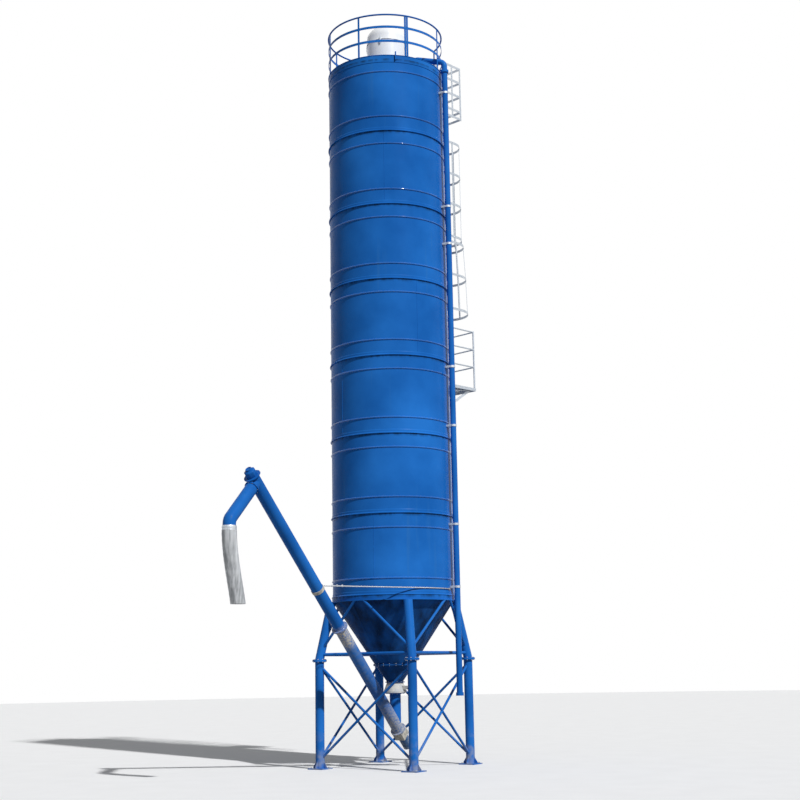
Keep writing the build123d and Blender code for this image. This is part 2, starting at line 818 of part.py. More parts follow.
def exit_cage():
    """Square-sided cage that leads from the ladder on to the roof."""
    out, along = radial(ladder_angle), tangent(ladder_angle)
    half = cage_half_width
    levels = [rim_top + rise for rise in exit_hoops]
    pieces = []
    for z in levels:
        near = out * cage_base - along * half + Vector(0, 0, z)
        far = out * cage_base + along * half + Vector(0, 0, z)
        near_out = near + out * exit_depth
        far_out = far + out * exit_depth
        for start, end in ((near, near_out), (near_out, far_out), (far_out, far)):
            run = (end - start).normalized()
            pieces.append(block(start - run * (hoop_thickness / 2), end + run * (hoop_thickness / 2),
                                hoop_thickness, hoop_height, run.cross(Vector(0, 0, 1))))
        pieces.extend(hoop_arms(ladder_angle, z, half))
    low = Vector(0, 0, levels[0] - hoop_height / 2)
    high = Vector(0, 0, levels[-1] + hoop_height / 2)
    middle = out * (cage_base + exit_depth / 2)
    edge = out * (cage_base + exit_depth)
    uprights = [
        (middle - along * half, along),
        (middle + along * half, along),
        (edge - along * half, along),
        (edge + along * half, along),
        (edge, out),
    ]
    for place, facing in uprights:
        pieces.append(block(place + low, place + high, exit_bar, strap_width, facing))
    return fused(pieces)


write("ladder_exit_cage", exit_cage())


# Rest platform

def platform_plan():
    """Corners of the platform: near shell, outer line with its knee, and back to the shell."""
    first, second = platform_angle, platform_angle + platform_turn
    reach = shell_radius + platform_reach
    knee = polar(reach / cos(radians(platform_turn / 2)), (first + second) / 2)
    near_out = radial(first) * reach - tangent(first) * platform_half_width
    far_out = radial(second) * reach + tangent(second) * platform_half_width
    drop = sqrt(shell_radius ** 2 - platform_half_width ** 2)
    near_in = radial(first) * drop - tangent(first) * platform_half_width
    far_in = radial(second) * drop + tangent(second) * platform_half_width
    return near_in, near_out, knee, far_out, far_in


near_in, near_out, knee, far_out, far_in = platform_plan()
plan = make_face(Polyline([near_in, near_out, knee, far_out, far_in, Vector(0, 0, 0)], close=True))
plate = extrude(Pos(0, 0, platform_top - platform_plate) * plan, platform_plate)
edge = extrude(Pos(0, 0, platform_z) * (plan - offset(plan, -platform_edge)), platform_depth)


def hatch_block(margin, low, high):
    """Upright block at the hatch in the floor, widened by a margin."""
    centre = polar(stile_circle + hatch_width / 2 - stile_depth, ladder_lower_angle)
    return block(centre + Vector(0, 0, low), centre + Vector(0, 0, high), hatch_width + 2 * margin,
                 hatch_length + 2 * margin, radial(ladder_lower_angle))


hatch_room = hatch_block(0, platform_z - platform_depth, platform_top + platform_depth)
hatch_edge = hatch_block(platform_edge, platform_z, platform_top)
arm_z = platform_top - platform_plate - arm_height / 2 + weld_depth
arms = []
for turn in (-arm_turn, platform_turn / 2, platform_turn + arm_turn):
    angle = platform_angle + turn
    wall = polar(shell_radius - lip_width, angle)
    tip = polar(shell_radius + platform_reach - arm_inset, angle, arm_z)
    arms.append(block(wall + Vector(0, 0, arm_z), tip, arm_thickness, arm_height, tangent(angle)))
    arms.append(block(wall + Vector(0, 0, platform_z - arm_drop), tip, arm_thickness,
                      arm_stay_height, tangent(angle)))
floor_room = upright(Vector(0, 0, 0), shell_radius + lip_width,
                     platform_z - platform_depth, platform_top + platform_depth)
floor = (plate + edge + hatch_edge) - floor_room - hatch_room
write("platform_floor", fused([floor] + arms) - shell_room)


def platform_rail():
    """Three rails and their posts round the open sides of the platform."""
    first, second = platform_angle, platform_angle + platform_turn
    inset = platform_post_inset
    line = [
        near_in + tangent(first) * inset + radial(first) * platform_shell_gap,
        near_out + tangent(first) * inset - radial(first) * inset,
        knee * (1 - inset / knee.length),
        far_out - tangent(second) * inset - radial(second) * inset,
        far_in - tangent(second) * inset + radial(second) * platform_shell_gap,
    ]
    post_top = platform_top + platform_rails[-1] + platform_bar + platform_post_cap
    pieces = []
    for height in platform_rails:
        level = Vector(0, 0, platform_top + height)
        for start, end in zip(line, line[1:]):
            pieces.append(rod(start + level, end + level, platform_bar))
    for point in line:
        pieces.append(upright(point, platform_post, platform_top, post_top))
    return fused(pieces)


write("platform_rail", platform_rail())


# Outlet valve and inlet neck

screw_run = Vector(0, -cos(radians(screw_angle)), sin(radians(screw_angle)))
screw_origin = Vector(0, 0, screw_foot_z)


def station(distance):
    """Point on the screw's axis, measured from below the silo's outlet."""
    return screw_origin + screw_run * distance


valve_top = cone_mouth_z
valve_foot = valve_top - valve_height
valve_middle = (valve_top + valve_foot) / 2
valve = turned([
    (valve_bore_radius, valve_foot),
    (valve_radius, valve_foot),
    (valve_radius, valve_foot + valve_rim_height),
    (valve_top_radius, valve_top),
    (valve_bore_radius, valve_top),
])
handle = block(Vector(valve_top_radius - valve_handle_root, 0, valve_middle),
               Vector(valve_radius + valve_handle_reach, 0, valve_middle),
               valve_handle_width, valve_handle_height, (0, 1, 0))
write("outlet_valve", valve + handle)

neck_inner = neck_radius - neck_wall
neck = ring(neck_flange_radius, neck_inner, valve_foot - flange_thickness, valve_foot)
neck = neck + ring(neck_radius, neck_inner, screw_foot_z, valve_foot - flange_thickness / 2)
screw_room = rod(station(-neck_flange_radius * 2), station(neck_flange_radius * 2),
                 screw_radius + seat_clearance)
neck = neck - screw_room
write("inlet_neck", largest(neck))


# Screw conveyor

def screw_piece(start, end, radius, wall=0.0):
    """Round bar or tube along the screw's axis."""
    return rod(station(start), station(end), radius, wall)


joint_wall = screw_flange_radius - screw_radius + screw_wall
lower_tube = screw_piece(screw_start, screw_joint, screw_radius, screw_wall)
lower_tube = lower_tube + screw_piece(
    screw_joint - screw_flange_thickness, screw_joint, screw_flange_radius, joint_wall)
lower_tube = lower_tube + screw_piece(screw_start, screw_start + screw_flange_thickness, screw_flange_radius)
inlet_bore = upright(Vector(0, 0, 0), neck_inner, screw_foot_z, valve_foot)
write("screw_tube_lower", lower_tube - inlet_bore)

upper_tube = screw_piece(screw_joint, screw_end, screw_radius, screw_wall)
upper_tube = upper_tube + screw_piece(
    screw_joint, screw_joint + screw_flange_thickness, screw_flange_radius, joint_wall)
upper_tube = upper_tube + screw_piece(screw_end - screw_flange_thickness, screw_end, screw_flange_radius)

spout_run = Vector(0, -cos(radians(spout_angle)), -sin(radians(spout_angle)))
spout_start = station(spout_station)
spout_end = spout_start + spout_run * spout_length
spout_plane = Plane(origin=(0, 0, 0), x_dir=(0, -1, 0), z_dir=(-1, 0, 0))
spout_inner = screw_radius - spout_wall
spout_path = spout_plane * FilletPolyline(
    (-spout_start.Y, spout_start.Z),
    (-spout_end.Y, spout_end.Z),
    (-spout_end.Y, spout_end.Z - spout_collar - sleeve_overlap),
    radius=spout_bend_radius)
spout_section = Plane(origin=spout_path @ 0, z_dir=spout_path % 0)
spout = sweep(spout_section * (Circle(screw_radius) - Circle(spout_inner)), path=spout_path)
spout_bore = rod(spout_start, spout_start + spout_run * (screw_radius * 3), spout_inner)
tube_room = screw_piece(spout_station - screw_radius * 5, screw_end + bearing_length,
                        screw_radius + seat_clearance)
write("screw_spout", largest(spout - tube_room))
write("screw_tube_upper", upper_tube - spout_bore)

band = screw_piece(band_station, band_station + band_length, screw_radius + seat_clearance + band_thickness)
band = band - screw_piece(band_station, band_station + band_length, screw_radius + seat_clearance)
write("screw_band", band)

gearbox = block(station(screw_start), station(screw_start - gearbox_length),
                gearbox_side, gearbox_side, (1, 0, 0))
write("screw_gearbox", gearbox)
motor_top = screw_start - gearbox_length
motor = screw_piece(motor_top - motor_length, motor_top, motor_radius)
write("screw_motor", motor)

bearing = block(station(screw_end), station(screw_end + bearing_length),
                bearing_side, bearing_side, (1, 0, 0))
write("screw_end_bearing", bearing)

sleeve_top = spout_end.Z - spout_collar
sleeve_place = Vector(0, spout_end.Y, 0)
sleeve_foot = Vector(0, spout_end.Y + sleeve_lean, sleeve_top - sleeve_length)
sleeve_path = Spline(
    (0, spout_end.Y, sleeve_top), (sleeve_foot.X, sleeve_foot.Y, sleeve_foot.Z),
    tangents=[(0, 0, -1), (0, sleeve_lean / sleeve_length, -1)])
sleeve_section = Plane(origin=sleeve_path @ 0, z_dir=sleeve_path % 0)
sleeve_ring = Circle(sleeve_radius) - Circle(sleeve_radius - sleeve_wall)
sleeve = sweep(sleeve_section * sleeve_ring, path=sleeve_path)
cuff = Pos(sleeve_place.X, sleeve_place.Y, 0) * turned([
    (sleeve_radius - sleeve_wall, sleeve_top),
    (sleeve_radius, sleeve_top),
    (screw_radius + seat_clearance + sleeve_clamp, sleeve_top + sleeve_shoulder),
    (screw_radius + seat_clearance + sleeve_clamp, sleeve_top + sleeve_overlap),
    (screw_radius + seat_clearance, sleeve_top + sleeve_overlap),
    (screw_radius + seat_clearance, sleeve_top + sleeve_shoulder - sleeve_wall),
])
write("spout_sleeve", sleeve + cuff)


# Stay cable from the conveyor's band round the shell to its lug

stay_circle = shell_radius + stay_radius + stay_clearance
screw_up = Vector(0, sin(radians(screw_angle)), cos(radians(screw_angle)))
stay_side = (Vector(1, 0, 0) + screw_up).normalized()
stay_foot = station(band_station + band_length / 2) + stay_side * (
    screw_radius + band_thickness + stay_radius + 2 * seat_clearance)
away = Vector(stay_foot.X, stay_foot.Y, 0).length
facing = degrees(atan2(stay_foot.Y, stay_foot.X))
touch_angle = facing + degrees(pi / 2 - asin(stay_circle / away))
stay_z = stay_foot.Z
touch = polar(stay_circle, touch_angle, stay_z)
halfway = polar(stay_circle, (touch_angle + stay_end_angle) / 2, stay_z)
stay_end = polar(stay_circle, stay_end_angle, stay_z)
stay_path = Wire([Line(stay_foot, touch), ThreePointArc(touch, halfway, stay_end)])
stay = sweep(Plane(origin=stay_foot, z_dir=touch - stay_foot) * Circle(stay_radius), path=stay_path)
lug = block(stay_end - Vector(0, 0, stay_lug / 2), stay_end + Vector(0, 0, stay_lug / 2),
            (stay_radius + stay_lug_wall) * 2, stay_lug, radial(stay_end_angle)) - shell_room
write("stay_cable", stay + lug)
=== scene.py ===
# %% [markdown]
# # A cement silo, dressed for its portrait
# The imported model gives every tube, sheet and ladder its true size. This lesson leaves those
# sizes alone. It adds what the eye looks for next: bolts, weld seams, a finned motor, a hanging
# sleeve, and finishes that look like enamel, zinc and cement dust.

# %% Load the frame
import math
import bpy
import bmesh
from mathutils import Matrix, Vector


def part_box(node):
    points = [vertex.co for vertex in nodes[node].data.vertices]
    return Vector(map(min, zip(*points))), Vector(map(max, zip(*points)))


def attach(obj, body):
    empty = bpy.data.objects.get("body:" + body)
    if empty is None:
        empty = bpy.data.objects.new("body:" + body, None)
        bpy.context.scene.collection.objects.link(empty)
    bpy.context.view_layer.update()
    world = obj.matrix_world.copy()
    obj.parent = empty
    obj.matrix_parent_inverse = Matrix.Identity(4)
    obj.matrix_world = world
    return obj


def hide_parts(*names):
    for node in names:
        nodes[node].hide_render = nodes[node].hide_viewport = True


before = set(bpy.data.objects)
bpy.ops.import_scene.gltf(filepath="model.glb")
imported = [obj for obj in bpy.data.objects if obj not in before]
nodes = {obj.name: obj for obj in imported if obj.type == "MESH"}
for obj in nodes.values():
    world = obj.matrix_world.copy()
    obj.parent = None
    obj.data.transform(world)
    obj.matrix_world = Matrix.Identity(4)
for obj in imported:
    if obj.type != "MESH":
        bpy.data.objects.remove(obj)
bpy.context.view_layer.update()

# %% [markdown]
# ## The camera first
# The photo was taken from the ground, about 26 m away, with the camera tipped up. A long lens
# keeps the silo's sides nearly upright. The camera is built from its three directions, so that
# its small roll is plain to see and easy to change.

# %% Camera
camera_distance = 26.42
camera_azimuth = math.radians(-57.5)
camera_height = 1.786
camera_pitch = math.radians(11.117)
camera_roll = math.radians(0.990)
camera_yaw = math.radians(0.405)
camera_lens = 61.62
camera_sensor = 36.0
camera_reach = 200.0

to_silo = Vector((-math.cos(camera_azimuth), -math.sin(camera_azimuth), 0))
to_right = Vector((to_silo.y, -to_silo.x, 0))
level = to_silo * math.cos(camera_yaw) + to_right * math.sin(camera_yaw)
side = to_right * math.cos(camera_yaw) - to_silo * math.sin(camera_yaw)
ahead = level * math.cos(camera_pitch) + Vector((0, 0, math.sin(camera_pitch)))
upward = Vector((0, 0, math.cos(camera_pitch))) - level * math.sin(camera_pitch)
right = side * math.cos(camera_roll) - upward * math.sin(camera_roll)
upward = side * math.sin(camera_roll) + upward * math.cos(camera_roll)

camera_data = bpy.data.cameras.new("photo_camera")
camera_data.lens = camera_lens
camera_data.sensor_width = camera_sensor
camera_data.clip_end = camera_reach
camera = bpy.data.objects.new("photo_camera", camera_data)
bpy.context.collection.objects.link(camera)
turn = Matrix((right, upward, -ahead)).transposed().to_4x4()
place = -to_silo * camera_distance + Vector((0, 0, camera_height))
camera.matrix_world = Matrix.Translation(place) @ turn
bpy.context.scene.camera = camera
bpy.context.scene.view_settings.view_transform = "Standard"
print("camera at", [round(v, 2) for v in place])

# %% [markdown]
# ## Light
# Enamel needs something to mirror, and a round shell needs one side brighter than the other. A
# single sun from the right gives both. A pale world fills the shadows, and shows as white to the
# camera and in reflections, without putting more light on the paint.

# %% Sun, world and floor
sun_strength = 3.2
sun_width = math.radians(1.5)
sun_azimuth = math.radians(-22)
sun_rise = math.radians(42)
fill_strength = 0.2
fill_colour = (0.93, 0.96, 1.0, 1)
floor_radius = 70
floor_drop = 0.001

sun_data = bpy.data.lights.new("key_light", "SUN")
sun_data.energy = sun_strength
sun_data.angle = sun_width
sun = bpy.data.objects.new("key_light", sun_data)
bpy.context.collection.objects.link(sun)
sun_from = Vector((math.cos(sun_azimuth) * math.cos(sun_rise),
                   math.sin(sun_azimuth) * math.cos(sun_rise),
                   math.sin(sun_rise)))
sun.rotation_euler = sun_from.to_track_quat("Z", "Y").to_euler()

world = bpy.data.worlds.new("pale_studio")
bpy.context.scene.world = world
world.use_nodes = True
world_tree = world.node_tree
world_tree.nodes.clear()
fill = world_tree.nodes.new("ShaderNodeBackground")
fill.inputs["Color"].default_value = fill_colour
fill.inputs["Strength"].default_value = fill_strength
seen = world_tree.nodes.new("ShaderNodeBackground")
seen.inputs["Color"].default_value = (1, 1, 1, 1)
seen.inputs["Strength"].default_value = 1.0
ray = world_tree.nodes.new("ShaderNodeLightPath")
choice = world_tree.nodes.new("ShaderNodeMixShader")
out = world_tree.nodes.new("ShaderNodeOutputWorld")
shown = ray.outputs["Is Camera Ray"]
for kind in ("Is Glossy Ray", "Is Transmission Ray"):
    either = world_tree.nodes.new("ShaderNodeMath")
    either.operation = "MAXIMUM"
    world_tree.links.new(shown, either.inputs[0])
    world_tree.links.new(ray.outputs[kind], either.inputs[1])
    shown = either.outputs[0]
world_tree.links.new(shown, choice.inputs[0])
world_tree.links.new(fill.outputs[0], choice.inputs[1])
world_tree.links.new(seen.outputs[0], choice.inputs[2])
world_tree.links.new(choice.outputs[0], out.inputs[0])


def deselect():
    """Nothing selected and nothing in edit mode."""
    if bpy.context.mode != "OBJECT":
        bpy.ops.object.mode_set(mode="OBJECT")
    bpy.ops.object.select_all(action="DESELECT")


deselect()
bpy.ops.mesh.primitive_circle_add(vertices=96, radius=floor_radius, fill_type="NGON",
                                  location=(0, 0, -floor_drop))
floor = bpy.context.object
floor.name = "floor"
print("floor and light are in place")

# %% [markdown]
# ## A small kit for finishes
# Every finish here is a Principled shader fed by a few textures in Object coordinates, which stay
# with the metal when the part moves. A helper makes the nodes and another joins them, so that
# each finish below reads as a short recipe.

# %% Finish helpers
coat_roughness = 0.04


def grey(value):
    """An even grey as a colour."""
    return (value, value, value, 1)


black, white = grey(0), grey(1)


class Finish:
    """A material with its node tree and short ways to add and join nodes."""

    def __init__(self, name, roughness, metallic=0.0, coat=0.0, gloss=0.25):
        self.material = bpy.data.materials.new(name)
        self.material.use_nodes = True
        self.tree = self.material.node_tree
        self.shader = self.tree.nodes["Principled BSDF"]
        self.shader.inputs["Roughness"].default_value = roughness
        self.shader.inputs["Metallic"].default_value = metallic
        self.shader.inputs["Coat Weight"].default_value = coat
        self.shader.inputs["Coat Roughness"].default_value = coat_roughness
        self.shader.inputs["Specular IOR Level"].default_value = gloss
        self.place = self.node("ShaderNodeTexCoord").outputs["Object"]

    def node(self, kind):
        """A new node in this finish's tree."""
        return self.tree.nodes.new(kind)

    def join(self, source, target):
        """Link an output to an input."""
        self.tree.links.new(source, target)

    def stretch(self, scale):
        """Object coordinates stretched along an axis, for streaks and brushing."""
        mapping = self.node("ShaderNodeMapping")
        mapping.inputs["Scale"].default_value = scale
        self.join(self.place, mapping.inputs["Vector"])
        return mapping.outputs["Vector"]

    def noise(self, scale, detail=4.0, along=None):
        """Noise from 0 to 1, read in Object coordinates or along stretched ones."""
        noise = self.node("ShaderNodeTexNoise")
        noise.inputs["Scale"].default_value = scale
        noise.inputs["Detail"].default_value = detail
        self.join(along or self.place, noise.inputs["Vector"])
        return noise.outputs["Fac"]

    def ramp(self, source, low, high, first=black, second=white):
        """Colour that goes from first to second while the source goes from low to high."""
        ramp = self.node("ShaderNodeValToRGB")
        ramp.color_ramp.elements[0].position = low
        ramp.color_ramp.elements[1].position = high
        ramp.color_ramp.elements[0].color = first
        ramp.color_ramp.elements[1].color = second
        self.join(source, ramp.inputs["Fac"])
        return ramp.outputs["Color"]

    def mix(self, share, first, second):
        """Colour mixed by a share; each colour is a value or another node's output."""
        mix = self.node("ShaderNodeMix")
        mix.data_type = "RGBA"
        sockets = {socket.identifier: socket for socket in mix.inputs}
        self.join(share, sockets["Factor_Float"])
        for source, socket in ((first, sockets["A_Color"]), (second, sockets["B_Color"])):
            if isinstance(source, tuple):
                socket.default_value = source
            else:
                self.join(source, socket)
        return next(socket for socket in mix.outputs if socket.identifier == "Result_Color")

    def height(self):
        """Height above the foundation, in metres."""
        split = self.node("ShaderNodeSeparateXYZ")
        self.join(self.place, split.inputs["Vector"])
        return split.outputs["Z"]

    def maths(self, operation, first, second):
        """Arithmetic on two values; each is a number or another node's output."""
        maths = self.node("ShaderNodeMath")
        maths.operation = operation
        for source, socket in ((first, maths.inputs[0]), (second, maths.inputs[1])):
            if isinstance(source, (int, float)):
                socket.default_value = source
            else:
                self.join(source, socket)
        return maths.outputs[0]

    def away(self, source, level):
        """How far a value is from a level, never negative."""
        return self.maths("ABSOLUTE", self.maths("SUBTRACT", source, level), 0)

    def colour(self, source):
        """Take the base colour from an output."""
        self.join(source, self.shader.inputs["Base Color"])

    def rough(self, source, low, high):
        """Roughness that drifts between two values with a noise."""
        ramp = self.ramp(source, 0.3, 0.7, grey(low), grey(high))
        self.join(ramp, self.shader.inputs["Roughness"])

    def bump(self, source, depth, strength=1.0):
        """Dents in the look of the surface, with a depth in metres."""
        bump = self.node("ShaderNodeBump")
        bump.inputs["Distance"].default_value = depth
        bump.inputs["Strength"].default_value = strength
        self.join(source, bump.inputs["Height"])
        self.join(bump.outputs["Normal"], self.shader.inputs["Normal"])


print("finish kit is ready")

# %% [markdown]
# ## Blue enamel
# The shell is rolled sheet under gloss paint. Up close it is never even: the sheet waves a
# little, and rain leaves pale upright streaks. Each lap throws a shadow on the sheet just under
# it, and that shadow is painted in as a dark ragged band. The laps repeat every course, so the
# painted shadow follows the share of the height within a course. The beads are rubbed clean by
# rain and shine more than the sheet, so a clear coat follows them.

# %% Shell paint
course_height = 1.5
course_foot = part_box("shell_course_1")[0].z
lower_bead, upper_bead = 0.305, 1.24
bead_edge, bead_fade = 0.011, 0.014
bead_coat = 0.5
lap_shadow_start = 0.955
enamel_deep = (0.010, 0.115, 0.43, 1)
enamel = (0.020, 0.18, 0.61, 1)
enamel_worn = (0.035, 0.17, 0.46, 1)
# Colour of the painted shadow under each lap.
lap_shadow_colour = (0.010, 0.035, 0.085, 1)


def enamel_base(finish, streak_share=0.62):
    """Colour of the enamel with its slow drift and its rain streaks."""
    drift = finish.ramp(finish.noise(0.9, 5), 0.35, 0.68)
    body = finish.mix(drift, enamel_deep, enamel)
    streaks = finish.noise(6.0, 6, finish.stretch((1.0, 1.0, 0.06)))
    return finish.mix(finish.ramp(streaks, streak_share, 0.9), body, enamel_worn)


shell_paint = Finish("shell_enamel", 0.3, gloss=0.025)
rise = shell_paint.maths("SUBTRACT", shell_paint.height(), course_foot)
share = shell_paint.maths("FRACT", shell_paint.maths("DIVIDE", rise, course_height), 0)
# Painted shadow of each lap: a dark ragged band at the top of a course, just under the next.
lap_shadow_band = shell_paint.ramp(share, lap_shadow_start, 1.0)
ragged = shell_paint.ramp(shell_paint.noise(9.0, 6, shell_paint.stretch((1, 1, 0.3))), 0.38, 0.62)
painted_lap_shadow = shell_paint.maths("MULTIPLY", lap_shadow_band, ragged)
shell_paint.colour(shell_paint.mix(painted_lap_shadow, enamel_base(shell_paint), lap_shadow_colour))
shell_paint.rough(shell_paint.noise(3.0, 6), 0.24, 0.36)
from_bead = shell_paint.maths("MINIMUM", shell_paint.away(share, lower_bead / course_height),
                              shell_paint.away(share, upper_bead / course_height))
on_bead = shell_paint.ramp(from_bead, bead_edge, bead_fade, grey(bead_coat), black)
shell_paint.join(on_bead, shell_paint.shader.inputs["Coat Weight"])
rolled = shell_paint.noise(1.6, 2, shell_paint.stretch((0.8, 0.8, 3.2)))
shell_paint.bump(rolled, 0.006, 0.5)
print("shell paint:", len(shell_paint.tree.nodes), "nodes")

# %% [markdown]
# The legs, braces and conveyor carry the same colour, but they get knocked. Chips show primer and
# rust on the edges, and cement dust settles low down. Dust is thickest at the foundation, so its
# share falls with height.

# %% Frame paint
primer = (0.16, 0.085, 0.05, 1)
dust = (0.42, 0.41, 0.38, 1)
chip_edge = 0.03


def knocked_enamel(name, dust_top, chip_share=0.71):
    """Enamel of the steelwork with chips, and dust that thins out with height."""
    finish = Finish(name, 0.3, coat=0.02, gloss=0.04)
    chips = finish.ramp(finish.noise(26.0, 8), chip_share, chip_share + chip_edge)
    body = finish.mix(chips, enamel_base(finish, 0.66), primer)
    height_share = finish.maths("DIVIDE", finish.height(), dust_top)
    low = finish.ramp(height_share, 0.0, 1.0, white, black)
    cloud = finish.ramp(finish.noise(7.0, 8), 0.4, 0.75)
    finish.colour(finish.mix(finish.maths("MULTIPLY", low, cloud), body, dust))
    finish.rough(finish.noise(8.0, 6), 0.22, 0.42)
    finish.bump(finish.noise(60.0, 4), 0.0006, 0.5)
    return finish


frame_paint = knocked_enamel("steelwork_enamel", dust_top=0.7)
rail_paint = knocked_enamel("guardrail_enamel", dust_top=0.01, chip_share=0.74)
print("steelwork paints are ready")

# %% [markdown]
# The hopper cone hangs in the shade of the shell. Its enamel is darkened in broad patches, which
# is painted shade, and flecked with specks of dust blown about when the silo is filled. Two noises
# of different size, one for the patches and one for the specks, keep it from looking even.

# %% Hopper paint
painted_shade_blue = (0.006, 0.03, 0.1, 1)
speck_grey = (0.07, 0.1, 0.15, 1)

hopper_paint = Finish("hopper_enamel", 0.45, gloss=0.03)
# Painted shade: broad dark patches on the cone, which hangs under the shell.
shade_noise = hopper_paint.noise(2.6, 6, hopper_paint.stretch((1.6, 1.6, 0.5)))
shade_patches = hopper_paint.ramp(shade_noise, 0.2, 0.66)
specks = hopper_paint.ramp(hopper_paint.noise(90.0, 8), 0.55, 0.85)
shaded_hopper_body = hopper_paint.mix(shade_patches, enamel_base(hopper_paint), painted_shade_blue)
hopper_paint.colour(hopper_paint.mix(specks, shaded_hopper_body, speck_grey))
hopper_paint.bump(hopper_paint.noise(5.0, 3), 0.003, 0.4)
print("hopper paint:", len(hopper_paint.tree.nodes), "nodes")

# %% [markdown]
# ## Zinc, white paint and worn steel
# Hot-dip galvanising freezes into flat crystals, the spangle. A Voronoi pattern gives each
# crystal its own grey. Cut metal at the gearbox is duller and carries cement.

# %% Zinc, white and castings
crystals_per_metre = 85.0
white_rust = (0.66, 0.68, 0.7, 1)
clean_white = (0.93, 0.95, 0.97, 1)
sooty_white = (0.78, 0.79, 0.79, 1)
valve_grey = (0.5, 0.52, 0.53, 1)
valve_cake = (0.66, 0.64, 0.58, 1)
oily_iron = (0.33, 0.33, 0.31, 1)
cement_cake = (0.56, 0.53, 0.46, 1)
motor_blue = (0.05, 0.12, 0.26, 1)
motor_dust = (0.32, 0.36, 0.42, 1)
cake_blend = 0.12


def spangled(name, dark, light, rough_low, rough_high):
    """Galvanised steel with spangle about 12 mm across."""
    finish = Finish(name, 0.45, metallic=0.65)
    cells = finish.node("ShaderNodeTexVoronoi")
    cells.inputs["Scale"].default_value = crystals_per_metre
    finish.join(finish.place, cells.inputs["Vector"])
    crystal = finish.node("ShaderNodeSeparateColor")
    finish.join(cells.outputs["Color"], crystal.inputs["Color"])
    spangle = finish.mix(crystal.outputs["Red"], dark, light)
    rusted = finish.ramp(finish.noise(5.0, 8), 0.55, 0.8)
    finish.colour(finish.mix(rusted, spangle, white_rust))
    finish.rough(crystal.outputs["Green"], rough_low, rough_high)
    finish.bump(finish.noise(120.0, 3), 0.0004, 0.4)
    return finish


zinc = spangled("galvanised_steel", dark=(0.42, 0.46, 0.51, 1), light=(0.62, 0.67, 0.73, 1),
                rough_low=0.35, rough_high=0.55)
bolt_zinc = spangled("bolt_zinc", dark=(0.34, 0.36, 0.39, 1), light=(0.55, 0.57, 0.6, 1),
                     rough_low=0.3, rough_high=0.45)

filter_white = Finish("filter_paint", 0.32, coat=0.4, gloss=0.5)
soot = filter_white.noise(4.0, 6, filter_white.stretch((1, 1, 0.15)))
filter_white.colour(filter_white.mix(filter_white.ramp(soot, 0.5, 0.85), clean_white, sooty_white))
filter_white.rough(filter_white.noise(6.0), 0.26, 0.42)
filter_white.bump(filter_white.noise(30.0, 3), 0.0005, 0.4)


def dusty(name, body, cake, share, roughness):
    """Painted or bare casting under a cake of cement."""
    finish = Finish(name, roughness)
    cover = finish.ramp(finish.noise(14.0, 9), share - cake_blend, share + cake_blend)
    finish.colour(finish.mix(cover, body, cake))
    finish.rough(finish.noise(20.0, 6), roughness - 0.1, roughness + 0.2)
    finish.bump(finish.noise(45.0, 6), 0.0015, 0.6)
    return finish


valve_cast = dusty("valve_casting", valve_grey, valve_cake, share=0.55, roughness=0.5)
gearbox_cast = dusty("gearbox_casting", oily_iron, cement_cake, share=0.45, roughness=0.6)
motor_paint = dusty("motor_enamel", motor_blue, motor_dust, share=0.62, roughness=0.4)
print("zinc, white and castings are ready")

# %% [markdown]
# The screw conveyor carries cement, and its lower half shows it: a thin grey film all along, and
# a pale cake just below the joint and at the feed end. The dust lies along the tube, so the
# finish needs the distance along a sloping axis. A dot product of the place and the screw's
# direction gives that.

# %% Conveyor paint
screw_rise = math.radians(44.3)
screw_foot = Vector((0, 0, 0.76))
screw_run = Vector((0, -math.cos(screw_rise), math.sin(screw_rise)))
screw_up = Vector((0, math.sin(screw_rise), math.cos(screw_rise)))
screw_joint = 2.54

grey_film = (0.19, 0.25, 0.33, 1)
film_start, film_share = screw_joint - 0.02, 0.5
cake_middle = screw_joint - 0.2
cake_half, cake_fade = 0.14, 0.3
feed_half, feed_fade, feed_share = 0.1, 0.75, 0.8


def caked_enamel(name):
    """Enamel with a grey film below the joint, and cement cake at the joint and the feed."""
    finish = Finish(name, 0.34, coat=0.02, gloss=0.04)
    along = finish.node("ShaderNodeVectorMath")
    along.operation = "DOT_PRODUCT"
    finish.join(finish.place, along.inputs[0])
    along.inputs[1].default_value = screw_run
    station = finish.maths("SUBTRACT", along.outputs["Value"], screw_foot.dot(screw_run))
    below_joint = finish.maths("SUBTRACT", film_start, station)
    lower_half = finish.ramp(below_joint, 0.0, 0.05, black, grey(film_share))
    thin = finish.ramp(finish.noise(16.0, 9), 0.25, 0.7)
    film = finish.mix(finish.maths("MULTIPLY", lower_half, thin), enamel_base(finish), grey_film)
    at_joint = finish.ramp(finish.away(station, cake_middle), cake_half, cake_fade, white, black)
    at_feed = finish.ramp(station, feed_half, feed_fade, grey(feed_share), black)
    caked = finish.maths("MAXIMUM", at_joint, at_feed)
    broken = finish.ramp(finish.noise(30.0, 9), 0.3, 0.62)
    finish.colour(finish.mix(finish.maths("MULTIPLY", caked, broken), film, cement_cake))
    finish.rough(finish.noise(9.0, 6), 0.25, 0.5)
    finish.bump(finish.noise(35.0, 5), 0.0012, 0.5)
    return finish


conveyor_paint = caked_enamel("conveyor_enamel")
print("conveyor paint knows its station along the tube")

# %% [markdown]
# The sleeve is milky plastic film. Light goes through it, so it is brighter at its folds than
# paint would be. Upright streaks run down it, partly grey dust and partly a painted sheen. The
# wire rope of the stay has a lay that winds round it, which a slanted wave gives; its colour is
# darkest in the grooves between the strands, which is painted shade. The floor is pale to look at,
# but a yard throws less light up than a white floor does, so the light that bounces off it comes
# from a darker grey.

# %% Sleeve film, wire rope and floor
film_light, film_index = 0.35, 1.3
film_milk, film_dust = (0.86, 0.88, 0.9, 1), (0.46, 0.48, 0.5, 1)
rope_groove_shade, rope_light = (0.3, 0.31, 0.33, 1), (0.62, 0.63, 0.65, 1)
rope_lay = 34.0
floor_bounce = 0.36

